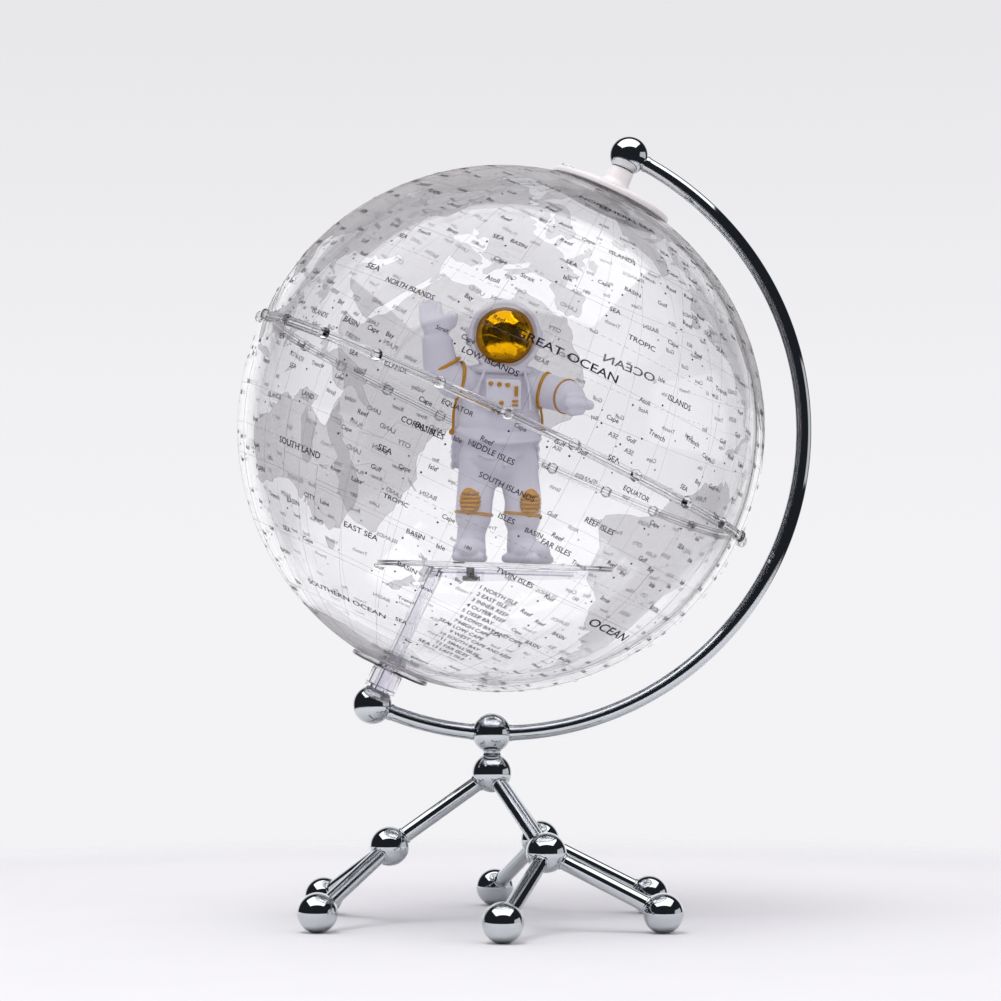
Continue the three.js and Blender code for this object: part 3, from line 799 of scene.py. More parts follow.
# Coastlines as longitude,latitude in degrees, east and north positive. Each outline closes on itself.
# A row that starts at the margin names a new outline, and an indented row carries on the last one.
LAND = """
australia 142.5,-10.7 142.9,-11.9 143.5,-12.8 143.6,-14.1 144.5,-14.3 145.3,-15 145.4,-16.4 146,-17.6
 146.3,-18.9 147.5,-19.4 148.8,-20.3 149.5,-22 150.7,-22.5 150.8,-23.5 151.7,-24 153,-25.3 153.2,-27
 153.6,-28.6 152.9,-31.5 151.8,-32.8 151.2,-34 150.1,-36.3 149.9,-37.5 147.9,-37.9 146.3,-39.1 144.9,-38.4
 144.6,-37.9 143.5,-38.8 141.6,-38.4 140,-37.3 139.6,-36.2 138.9,-35.5 138.2,-35.6 138.5,-34.8 138.1,-34.2
 137.7,-35.1 137,-35.2 137.4,-34.3 137.9,-33.2 137.8,-32.6 136.9,-33.7 135.9,-34.8 135.2,-34.5 134.8,-33.3
 134.1,-32.7 132.8,-32 131.2,-31.5 128.9,-31.7 126,-32.3 124.2,-33 123.8,-33.9 121.9,-33.9 120,-33.9 118,-35.1
 116.2,-34.9 115.1,-34.3 115.6,-33.2 115.7,-31.7 114.9,-29.9 114.2,-27.6 113.3,-26.2 113.8,-26.4 113.5,-24.8
 113.7,-23.2 114.1,-21.8 115.6,-21.6 116.8,-20.6 119,-20 121.1,-19.5 122.2,-18.2 122.3,-17.2 123.6,-17.3
 123.8,-16.1 125.2,-14.6 127,-13.9 128.3,-14.9 129.6,-15 129.5,-14.3 130.6,-13.2 130.6,-12.5 131.6,-12.2
 132.7,-11.4 133.6,-11.8 135.2,-12.1 136.9,-12.2 136.5,-13.2 135.9,-13.4 135.5,-14.9 137.2,-15.9 139.2,-17.3
 140.8,-17.5 141.3,-16.3 141.6,-14.5 141.7,-12.8 142.1,-11.6
tasmania 144.7,-40.8 146.5,-41.1 148.3,-40.9 148.3,-42 147.9,-43.2 146.9,-43.6 146.1,-43.5 145.3,-42.2
north_islands_nz 172.7,-34.5 174.3,-35.3 174.8,-36.8 175.5,-36.6 176.1,-37.6 177.3,-38 178.5,-37.7 178,-39
 176.9,-39.5 176.8,-40.4 175.3,-41.6 174.8,-41.4 175.1,-40 173.8,-39.3 174.7,-38.1 174.6,-37.2 173.8,-36
south_nz 172.7,-40.6 173.2,-41.3 174.3,-41.7 172.8,-43 173,-43.8 171.2,-44.4 170.6,-45.9 168.4,-46.6
 166.5,-45.9 168.4,-44 170.5,-43 171.4,-41.9
new_guinea 131,-0.8 132.5,-0.4 134,-0.8 134.4,-2.8 135.3,-3.3 136.3,-2.3 137.9,-1.5 141,-2.6 143.5,-3.4
 144.5,-3.8 145.8,-5.3 147.8,-6 146.9,-6.8 148.2,-8.1 149.3,-9.1 150.7,-10.4 149,-10.3 147.2,-9.5 146,-8.2
 144.5,-7.6 143.3,-8.3 142.6,-9.3 141,-9.1 139.1,-8 138.6,-6.9 137.7,-5.3 135.3,-4.4 133.1,-4.1 132.9,-2.8
 133.8,-2.4 131.9,-2.2 132.2,-1.4
new_britain 148.4,-5.6 150.3,-5.5 152.2,-4.2 151.9,-5.2 150.5,-6.2 149.2,-6.2
borneo 109.1,1.5 109.7,2 111.4,2.4 113,3.2 114.1,4.5 115.5,5.3 117,7 118,6.1 119.2,5.2 117.8,3.6 118.9,1
 117.6,0.8 117.4,-0.9 116.4,-1.8 116,-3.6 114.6,-4.1 113,-3 111.7,-3.4 110.1,-1.4 109.1,0.3
sumatra 95.3,5.6 97.5,5.2 98.7,3.8 100.4,2.3 102,1.4 103.6,0 104.5,-1.8 106,-3 105.8,-5.8 104.5,-5.8
 102.3,-3.9 101,-2.5 100.4,-1 99,0.3 98.7,1.6 97.2,3.2
java 105.2,-6.8 106.7,-6 108.5,-6.6 110.8,-6.5 112.7,-7 114.5,-7.7 114.4,-8.7 111,-8.2 108.5,-7.8 106.5,-7.4
sulawesi 119.8,0.4 121,1.2 123,0.9 125.1,1.6 124.4,0.4 120.5,0.5 120.2,-0.9 121.4,-1 123.3,-0.8 121.8,-1.9
 122.5,-3.4 122.6,-4.6 121.5,-4.6 120.9,-2.8 120.4,-3.2 120.4,-5.5 119.5,-5.4 119.5,-3.5 118.9,-2.8 119.8,-0.9
halmahera 127.5,1.9 128.6,1.4 128.2,0.6 128.4,-0.8 127.7,0.2
seram 128,-3.2 130.8,-3 130.5,-3.7 128.2,-3.5
timor 123.5,-10.3 124.5,-9.2 127.2,-8.4 125.8,-9.2
luzon 120.6,18.5 122.2,18.5 122.2,17.2 121.4,15.8 121.8,14.1 124.1,13 123.9,12.6 122.5,13.4 120.7,13.8
 120.1,14.8 119.9,16.3
mindanao 122,7 123.5,8.6 124.8,9 125.5,9.8 126.4,8.3 126.5,7.3 125.6,5.6 125.3,7 124,6.8 123.3,7.6
visayas 122,11.8 123.2,11.6 125.3,12.5 125.2,10.4 123.3,9.3 122.4,9.8
palawan 117.2,8.4 119.5,11.3 119.1,10.2
taiwan 120.1,23 120.7,24.6 121.5,25.3 121.9,24.9 121.4,23.2 120.9,22
hainan 108.7,19.3 110.5,20.1 110.9,19.5 109.6,18.2
honshu 131,34.4 132.6,35.4 135.7,35.6 136.7,37.3 137.3,36.8 138.6,37.4 139.8,38.8 140,40.3 140.9,41.4
 141.4,40.6 142,39.5 141,38.2 140.9,36.6 140.3,35.2 138.8,34.7 136.9,34.4 135.7,33.5 134.7,34.7 132.5,34.2
hokkaido 140.2,41.6 140,42.6 141.2,43.2 141.7,45.4 143,44.4 145.3,43.8 144,42.9 142.6,42.2 141.2,42.5
kyushu 129.8,33 130.9,33.9 131.8,33.4 131.4,31.5 130.3,31.2
shikoku 132.3,33.5 133.6,34.3 134.6,34.1 134.2,33.3 132.9,32.8
sakhalin 142,46 142,48 142.1,50.5 141.8,53 142.8,54.3 143.3,52.5 143.7,50 144.6,49 142.9,47.3 143.4,46.7
ceylon 79.8,8.2 80.2,9.7 81.2,8.5 81.8,7 80.6,6
madagascar 49.3,-12.1 50.4,-15.8 49.4,-17.7 49,-19.5 47.1,-24.9 45.1,-25.5 43.8,-24 43.4,-22 44.4,-19.8 44,-18
 44.5,-16.3 47,-15.2 48.3,-13.6
britain -5.2,50.1 -3.5,50.4 1.2,51 0.7,51.6 1.7,52.7 0.3,53.1 -0.2,54.1 -1.7,55.6 -3.1,56 -1.9,57.5 -4,57.7
 -3.1,58.6 -5.1,58.5 -5.8,57 -4.9,55.6 -3.4,54.9 -3,53.6 -4.5,53 -4.9,52 -3.2,51.4 -4.4,51
ireland -6.3,52.2 -9.9,51.7 -9.5,53.1 -9.9,54.2 -8.3,54.6 -7.3,55.3 -5.7,54.6 -6.1,53.3
iceland -22.6,64 -20.3,63.6 -18.5,63.4 -15,64.3 -13.6,65.1 -16,66.5 -20.3,65.8 -22.5,66.4 -24.2,65.5
 -21.8,64.9
greenland -73,78.2 -68,80 -60,82 -48,82.4 -33,83.5 -22,82.6 -12,81.5 -18,80 -20,77 -20,75 -22,72.5 -22,70.5
 -25.5,70.5 -27,68.5 -33,67.5 -37.5,65.7 -40.5,64.8 -41.5,63 -43,60.2 -45,60.2 -48.5,61 -51.5,63.7 -53.5,66.8
 -51,69.4 -54.5,70.6 -55.5,73 -58.5,75.3 -66,76 -71,77.2
ellesmere -90,77 -86,79.5 -92,81 -78,83 -62,82.5 -71,79.7 -76,78.6 -80,76.3
devon -96,76.6 -88,76.4 -80,75.7 -80.5,74.7 -92,74.8
baffin -61.5,66.6 -64.5,67.8 -68,70.3 -76,72.6 -81,73.7 -89,73.5 -86,71 -80,69.8 -72.5,67.8 -73,66 -78,64.6
 -72,62.6 -66,62 -68,63.8 -63.8,65.2
victoria -117,72.8 -110,73 -105,72.7 -104.3,70.5 -101.8,69 -106,68.8 -113,68.5 -116.3,69.3 -112,70.3
 -117.8,71.3
banks -125,72 -124,74.2 -119,74.1 -116,73.3 -121,71.5
melville -117,75.5 -112,76.2 -106,75.8 -107,74.9 -113,74.5
cuba -84.9,21.9 -82,23.1 -79.5,22.8 -77,21.6 -74.2,20.2 -77.6,19.9 -78.5,21.6 -82,22.3
hispaniola -74.4,18.4 -72.8,19.9 -70,19.8 -68.4,18.6 -70.5,18.2 -72,18.2
svalbard 11,79.5 20,80.4 27,80 21,78.6 17,76.8 13.6,78
novaya 52,71 53,73 56,74.5 61,76 68.5,76.8 62,75 57.5,73 57,71
severnaya 95,79.3 98,81 105,79 100,78
newfoundland -59.3,47.7 -57.5,50.8 -55.7,51.5 -55.6,49.9 -53,47.3 -55.8,46.9
vancouver_island -128.2,50.7 -125.3,50.2 -123.5,48.4 -125.8,49
big_island -156,20.2 -155,19.5 -155.7,18.9
fiji 177.3,-17.6 178.7,-17.7 178.2,-18.3
caledonia 164,-20.3 166.9,-22.3 166.3,-22.3 164.3,-21
falklands -61,-51.8 -58,-51.4 -59.5,-52.3
eurasia -9,37 -7,37.2 -5.6,36.1 -4,36.8 -2.2,36.8 -0.4,38.5 -0.2,39.8 3.2,41.8 3.1,43.1 4.6,43.4 7.5,43.8
 8.8,44.4 10.3,43.5 12.2,41.8 14,40.8 15.7,40 15.7,38 17.1,39 16.8,40.4 18.5,40.2 16,41.7 14,42.7 12.5,44
 12.4,45.3 13.7,45.6 15,44.4 17.5,43 19.4,41.7 19.4,40.4 21,38.9 21.6,37 23,36.5 24,37.7 22.9,39.2 22.9,40.4
 24.3,40.7 26.2,40.8 28.7,41.4 28,42.5 28.7,44 30.7,46.4 33,46.1 33.6,44.6 35.4,45.1 35.2,46.3 37.5,47
 39.1,47.1 37.5,45.2 39.8,43.5 41.6,41.9 39.5,41 36.5,41.2 35,42 31.4,41.2 29.2,41 27,40.4 26.2,39.3 26.6,38
 27.5,36.8 30.6,36.8 32.5,36.1 34,36.3 36,36.7 35.8,34.8 34.9,32.6 34.2,31.3 32.6,31 33,28.6 34.3,27.8
 34.9,29.4 36.2,26.6 39,22 41,18 42.7,16.2 43.4,12.7 45.2,12.9 48,14 51.2,15.2 52.3,16.4 55,17 57.7,19
 58.7,20.6 59.8,22.4 58.5,23.7 56.5,24.6 56.3,26.3 54.4,24.2 51.6,24.4 51.4,26 50.2,26.4 48.3,29 48,30 50,30.2
 51,28.8 52.6,27.5 54.7,26.5 57,27.1 57.4,25.8 61.6,25.2 66.6,25.2 67.5,23.9 69.5,22.3 70.3,20.9 72.2,21.2
 72.7,19.5 73.3,16.5 74.5,14 75.8,11.3 76.4,9.5 77.5,8 78.3,9 79.8,10.3 80.2,13.4 80.3,15.5 82.3,16.6
 84.5,18.5 86.9,20.2 87.5,21.6 89.5,21.9 90.8,22.5 92.1,21 94.2,18.5 94.4,16 95.7,15.8 97.2,16.9 97.8,15
 98.7,12.5 98.4,9.7 98.3,8.2 100.2,6.3 100.7,4 101.5,2.6 103.5,1.3 104.2,1.6 103.4,4.2 102.2,6.2 100.6,7.2
 99.3,9.3 99.9,11.7 100,13.4 101,12.7 102.9,11.5 104.8,10.2 105,8.7 106.7,9.8 107.3,10.6 109.2,11.8 109.2,13.6
 108.2,16 106.6,17.5 105.8,19 106.7,20.6 108.3,21.6 109.8,21.4 109.9,20.4 110.6,21.2 113.6,22.2 115.5,22.8
 117.6,23.9 119.4,25.4 121.2,28 122,29.8 120.9,30.4 121.8,31.7 120.3,34 119.3,35 120.6,36.1 122.5,37
 120.8,37.7 119,37.2 117.8,38.6 118.8,39.2 121.1,40.9 121.2,38.8 123.2,39.7 124.5,40 125,38.2 126.7,37
 126.4,34.5 127.6,34.6 129.2,35.2 129.4,37 128,38.8 127.5,39.7 129.7,41 130.7,42.3 133,42.8 135.5,44.4
 138.3,46.5 140.4,48.5 140.7,50.5 141.3,52.8 140,54 137.5,53.9 135.4,54.8 137.5,56 142,59.2 145.6,59.4
 151,59.2 155,59.4 156.8,61.6 160.3,61.8 163.3,62.5 163.2,61.6 159.9,60.8 156.8,57.8 155.7,56 156.7,51.2
 158.3,52.3 160,54.2 162.1,55 163.3,57.5 163.2,58 166.3,60 170.3,60 174.5,61.7 179.3,62.4 179.2,63.2
 182.5,64.5 187,64.3 190.2,66 187,67 183,68 180,69 175,69.9 170.5,70 170.5,69 162.5,69.6 160,69.8 152,70.9
 141,72.6 133,71.5 129,71.2 127,73.4 119,73.1 113.5,74 108,73.6 113,75.5 105,77.6 98,76.2 87,75 80.5,73.6
 80.5,72 78.5,72.3 75,72.7 73,71.2 74.2,68.5 71.5,66.3 68.9,68 72.7,71.2 70,73.3 66.8,71.2 68.3,68.3 63,69.5
 60.5,69.8 54,68.4 48.5,67.7 46,68.3 44,66.5 42.2,66.4 40,64.6 37.1,65 38,63.9 34.8,64.4 34.5,66.5 38.5,66
 41.2,66.8 41,67.6 36,69.1 31,69.8 28,71 25.5,71.1 19,70 15,68 12.5,66 11,64.5 8,63.2 5,62 5.2,59.5 7,58
 9.5,59 11,59.2 11.6,57.8 12.9,55.5 14.3,55.5 16.5,56.6 17,58.5 19,60 17.2,61 17.3,62.2 21.3,64.6 22.2,65.8
 25.3,65.1 24.5,64.7 21.5,63 21.3,61.2 22.9,59.9 26,60.4 30,59.9 28,59.4 24.3,59.4 23.6,58.6 24.4,57.3
 22.6,57.7 21.1,56.8 21.1,55.3 19.5,54.4 16.5,54.5 14.2,53.9 11,54.1 9.9,54.9 10.4,56.4 10.4,57.6 8.3,57
 8.1,55.5 8.9,53.8 7,53.5 4.9,53 3.4,51.4 1.6,50.6 0.2,49.6 -1.3,49.4 -1.6,48.7 -4.7,48.5 -4.3,47.8 -2,47.1
 -1.2,45.6 -1.6,43.4 -4,43.4 -8,43.7 -9.2,43 -8.7,41 -9.4,38.7
africa -5.9,35.8 -4,35.2 -2,35.1 0,35.9 3,36.9 7,37 9.8,37.3 10.9,36.8 10.7,34.6 11.3,33.3 13.5,32.9 15.3,32.2
 18,30.6 20,30.9 20.1,32.4 22.8,32.8 25,31.6 29,30.9 31,31.5 32.4,31.2 32.4,29.8 34,26.7 35.5,24 37.2,21
 37.4,18.8 39.2,15.7 41.2,14.6 43.2,11.9 43.2,11.4 44.5,10.5 47.5,11.2 51.2,11.9 50.9,9.5 49,6.2 46,2.5
 42.6,-0.5 40.4,-2.6 39.2,-5 39.4,-7 39.5,-9 40.6,-10.8 40.7,-14.8 39,-16.8 36.6,-18.7 34.8,-20 35.5,-23
 32.8,-25.6 32.7,-28 31,-30 28,-33 25.7,-34 22.2,-34.1 19.9,-34.8 18.4,-34.1 17.9,-32 16.5,-28.7 15,-26.5
 14.4,-22.5 12.5,-18.6 11.8,-16.5 13.4,-13 13.8,-10.8 12.9,-9 13,-7.5 12,-5 9.5,-2.5 9,-0.8 9.5,1 9.7,3.6
 8.7,4.6 7,4.4 5.7,4.6 4.3,6.3 1.5,6.2 -2,4.8 -4.5,5.2 -7.6,4.4 -9.5,5.5 -11.3,6.9 -13.2,8.8 -14.7,10.8
 -16.7,12.4 -17.3,14.8 -16.3,17 -16.3,19.2 -17,21.2 -15.8,23.8 -14.4,26.2 -12.9,27.9 -11,28.8 -9.7,30.2
 -9.6,31.5 -8.4,33.3 -6.7,34.2
north_america -168,65.6 -164,66.3 -162,66.3 -166.5,68.3 -163,69.7 -156.5,71.3 -152,70.9 -145,70 -141,69.6
 -136,69 -133,69.6 -128,70.4 -124,69.6 -117,69 -115,68 -108,67.9 -102,67.8 -98,68.3 -96,68.2 -94.5,71.8
 -92,70.5 -90.5,68.6 -86,68 -82,69.7 -81.5,67.4 -84.5,66.2 -87,65.2 -89,64 -93,61.8 -94.7,60 -94.8,58.8
 -92.5,57 -88,56.5 -82.4,55.2 -82.3,53 -80.5,51.5 -79,51.5 -79.8,54.6 -77,55.8 -76.7,57.3 -78.5,58.9 -77.5,60
 -78,62.4 -74,62.2 -70,61 -69.5,59 -67.8,58.4 -65.5,59.8 -64.5,60.3 -62,58 -61.5,56.5 -59,55 -57,53.7
 -55.8,52.2 -58.5,51.3 -60,50.2 -66.5,50.2 -69.5,48.2 -71.2,46.8 -68,48.6 -65,49.2 -65,47.8 -64,46.5 -61.2,46
 -63.5,44.6 -65.8,43.5 -66,44.8 -67,44.8 -70.2,43.7 -70.8,42.7 -70,41.8 -72.5,41 -74,40.5 -75.3,38.2 -76,37
 -75.6,35.3 -77.9,33.9 -79.3,33.1 -81.3,31.5 -81.3,29.8 -80.1,27 -80.5,25.2 -81.8,26.2 -82.8,28 -84,30
 -85.6,29.8 -88.3,30.3 -89.6,30.1 -89.3,29.1 -91.5,29.4 -94,29.6 -96.5,28.3 -97.3,27 -97.8,24 -97.6,21.5
 -96.1,19.2 -94.5,18.2 -92,18.6 -90.6,19.6 -90.3,21 -87,21.6 -87.5,19.5 -88.3,17.8 -88.9,15.9 -86,15.8
 -83.3,15 -83.6,12.3 -83.5,10.9 -82.2,9 -80.8,8.8 -79.6,9.5 -77.4,8.6 -77.9,7.5 -78.6,8.9 -80,7.4 -82.8,8.2
 -83.7,9 -85.7,10 -86.5,11.8 -87.6,13 -90,13.8 -92.2,14.5 -94.5,16.2 -96.5,15.7 -99.5,16.7 -101.8,17.7 -104,19
 -105.6,20.4 -105.5,22.3 -108.3,25.1 -109.8,26.8 -112.2,29 -113.1,31.2 -114.8,31.7 -113,28.6 -111.3,26
 -109.5,23.1 -110.2,23.2 -112.1,24.7 -112.3,26.2 -115,27.8 -115.8,30 -117.1,32.5 -118.5,34 -120.6,34.6
 -121.9,36.6 -122.5,37.8 -123.8,39.3 -124.3,40.4 -124.1,43 -124,46.2 -124.7,48.4 -122.6,48 -123,49.2 -127.5,51
 -128.6,52.8 -130.5,54.5 -131.8,56.5 -134,58.2 -137,58.6 -139.6,59.6 -144,60 -147,61 -150,59.6 -151.9,59.2
 -151,61 -153.8,59.2 -156,57.4 -158.5,56 -162,55 -164.8,54.6 -162.5,55.6 -160,56.4 -157.7,57.6 -157.2,58.8
 -160,58.7 -162,58.7 -162,60 -165.4,61.3 -165.5,62.8 -163,63.2 -161,63.6 -161.2,64.6 -166.2,64.6
south_america -77.3,8.4 -75.6,10.7 -74.2,11.3 -71.8,12.4 -71.5,10.8 -70,12 -68,10.7 -64.5,10.2 -62,10.7
 -60.6,8.6 -58.3,6.8 -55.5,6 -52,4.6 -50.5,1.8 -50,0 -48.4,-1 -44.5,-2.6 -41.8,-2.8 -38.5,-3.8 -35.4,-5.2
 -34.9,-8 -37,-11 -38.6,-13 -39,-16 -39.3,-18 -41,-21.8 -43,-22.9 -45.5,-23.9 -48.5,-25.8 -48.8,-28.5
 -50.3,-30.2 -52.3,-33 -54.9,-34.9 -57.8,-34.4 -57.3,-36 -57.6,-38.1 -61,-38.9 -62.2,-39.3 -62.3,-40.7
 -64.9,-40.9 -63.8,-42.3 -65.4,-44.5 -67.4,-46 -65.9,-47.9 -68.9,-50.3 -68.4,-52.4 -65.3,-54.8 -69,-55.4
 -72,-54.3 -74.8,-52 -75.4,-49 -74.5,-46.8 -72.8,-44 -73.7,-41.5 -73.3,-39 -73.4,-37.2 -71.7,-33.5 -71.4,-30
 -70.5,-26 -70.2,-21 -70.4,-18.3 -73,-16.5 -76.2,-14 -77.4,-11.5 -79.2,-8.2 -81,-6 -81.3,-4.5 -79.9,-3
 -80.8,-1 -80,0.8 -78.8,1.6 -77.3,3.8 -77.3,6.5
antarctica -180,-78.2 -165,-78.3 -157,-77.3 -150,-76.8 -140,-75.3 -130,-74.5 -115,-74.3 -102,-73.4 -95,-72.6
 -82,-73 -75,-73 -68,-69 -65,-65.3 -57.5,-63.4 -61,-66 -62,-70 -61,-74 -64,-76 -75,-77.8 -60,-78.5 -47,-78
 -36,-78.2 -28,-76 -20,-73.5 -12,-71.3 0,-70.3 15,-70 32,-69 38,-69.7 45,-67.7 55,-66 62,-67.4 70,-68.3 77,-69
 90,-66.6 100,-66.3 115,-66.6 130,-66.2 145,-67 157,-69.2 165,-70.6 171,-71.8 167,-74.5 164,-77.5
"""

# Land borders and rivers, drawn as thin lines: one to a row that starts at the margin.
BORDERS = """
129,-31.7 129,-14.9
138,-26 138,-16.5
129,-26 141,-26
141,-38 141,-26
141,-29 148,-29 153,-28.4
141,-34 144,-36 148,-36 150,-37.4
141,-9 141,-2.6
109.7,2 111,1 114,1.2 115.5,3 117.6,4.2
-123,49 -95,49 -89,48 -83,46 -82.5,42.5 -79,43.2 -75,45 -70,46.5 -67.5,45
-141,60.2 -141,69.6
-117,32.5 -111,31.3 -106.5,31.8 -102,29.5 -97.3,26
87,49 91,45.5 97,42.8 105,41.8 111,43.5 116,46.7 120,50 125,53 127.5,50 131,47.8 134.7,48.3 131,44 130.7,42.4
87,49 98,50.5 108,49.5 116,49.7 120,50
73.5,39.5 76,35.5 80,32 82,30 88,28 92,27.5 97,28.2 98.5,24.5 101.5,21.3 106,22.8 108,21.6
68.2,23.8 71,27.5 74.5,31 74,34.5 72,37
61.6,25.3 61,30 61,35.5 66,38 71,37 75,41.5 80,43 82,46 87,49
50,51.5 55,51 60,51 62,54 70,55 77,54 80,51 87,49
98.3,12 99,15 97.8,18 100,20.3 102,21.5
100,20.3 102,17.8 105,16 107.3,14.5 106.5,11
44.5,39.5 45,36 46,33 48,30.3
8,-1 14,-5 22,-6 24,-11 30,-12
11,37 9,32 10,29 12,23 4,19 -5,24 -9,27.5
25,31.6 25,22 37,22
24,20 23,10 27,5 35,4.5 42,4.2
20,-28.5 20,-18 25,-18 32,-22
-70,-18.3 -67,-23 -70,-30 -71,-40 -72,-50
-67,-23 -62,-22 -58,-20 -58,-13 -65,-10 -70,-10 -73,-5 -70,-1 -70,2 -62,4 -60,5.2
-54,-25.5 -57.8,-30 -53.5,-33.5
23.6,65.9 24,68.5 28,70 31,69.7
28,60.5 31,63 29.5,66 28.7,69
14.5,54 15,51 19,49.5 24,50 23.5,54 28,56
-1.8,43.4 3,42.4
8,49 7.5,47.6 10,46.8 13.5,46.5
"""


class Sphere:
    """Turns longitude and latitude into places on the sphere, in the frame's axes."""

    FACING_LONGITUDE = 177.6

    def __init__(self, layout: Layout, radius: float) -> None:
        """Takes the sphere's place from the layout, and its radius in metres."""
        self.layout = layout
        self.radius = radius
        axis = np.array(layout.axis)
        front = np.array((0.0, -1.0, 0.0))
        self.basis = np.stack([front, np.cross(axis, front), axis])

    def directions(self, lon_lat: np.ndarray) -> np.ndarray:
        """Unit directions of rows of longitude and latitude, in degrees."""
        lon = np.radians(lon_lat[:, 0] - self.FACING_LONGITUDE)
        lat = np.radians(lon_lat[:, 1])
        local = np.stack([np.cos(lat) * np.cos(lon), np.cos(lat) * np.sin(lon), np.sin(lat)], 1)
        return local @ self.basis

    def at(self, directions: np.ndarray, height: float) -> np.ndarray:
        """Points above the sphere's surface in these directions."""
        return np.array(self.layout.globe) + directions * (self.radius + height)

    def skin(
        self, directions: np.ndarray, triangles: Sequence[tuple[int, ...]], low: float, high: float
    ) -> Shape:
        """A closed film over a patch of triangles, between two heights."""
        count = len(directions)
        points = np.concatenate([self.at(directions, low), self.at(directions, high)])
        faces: list[tuple[int, ...]] = []
        edges: set[tuple[int, int]] = set()
        for t in triangles:
            faces.append(tuple(t[::-1]))
            faces.append(tuple(i + count for i in t))
            for a, b in zip(t, (*t[1:], t[0])):
                edges.add((a, b))
        for a, b in edges:
            if (b, a) not in edges:
                faces.append((a, b, b + count, a + count))
        return Shape(points, faces)


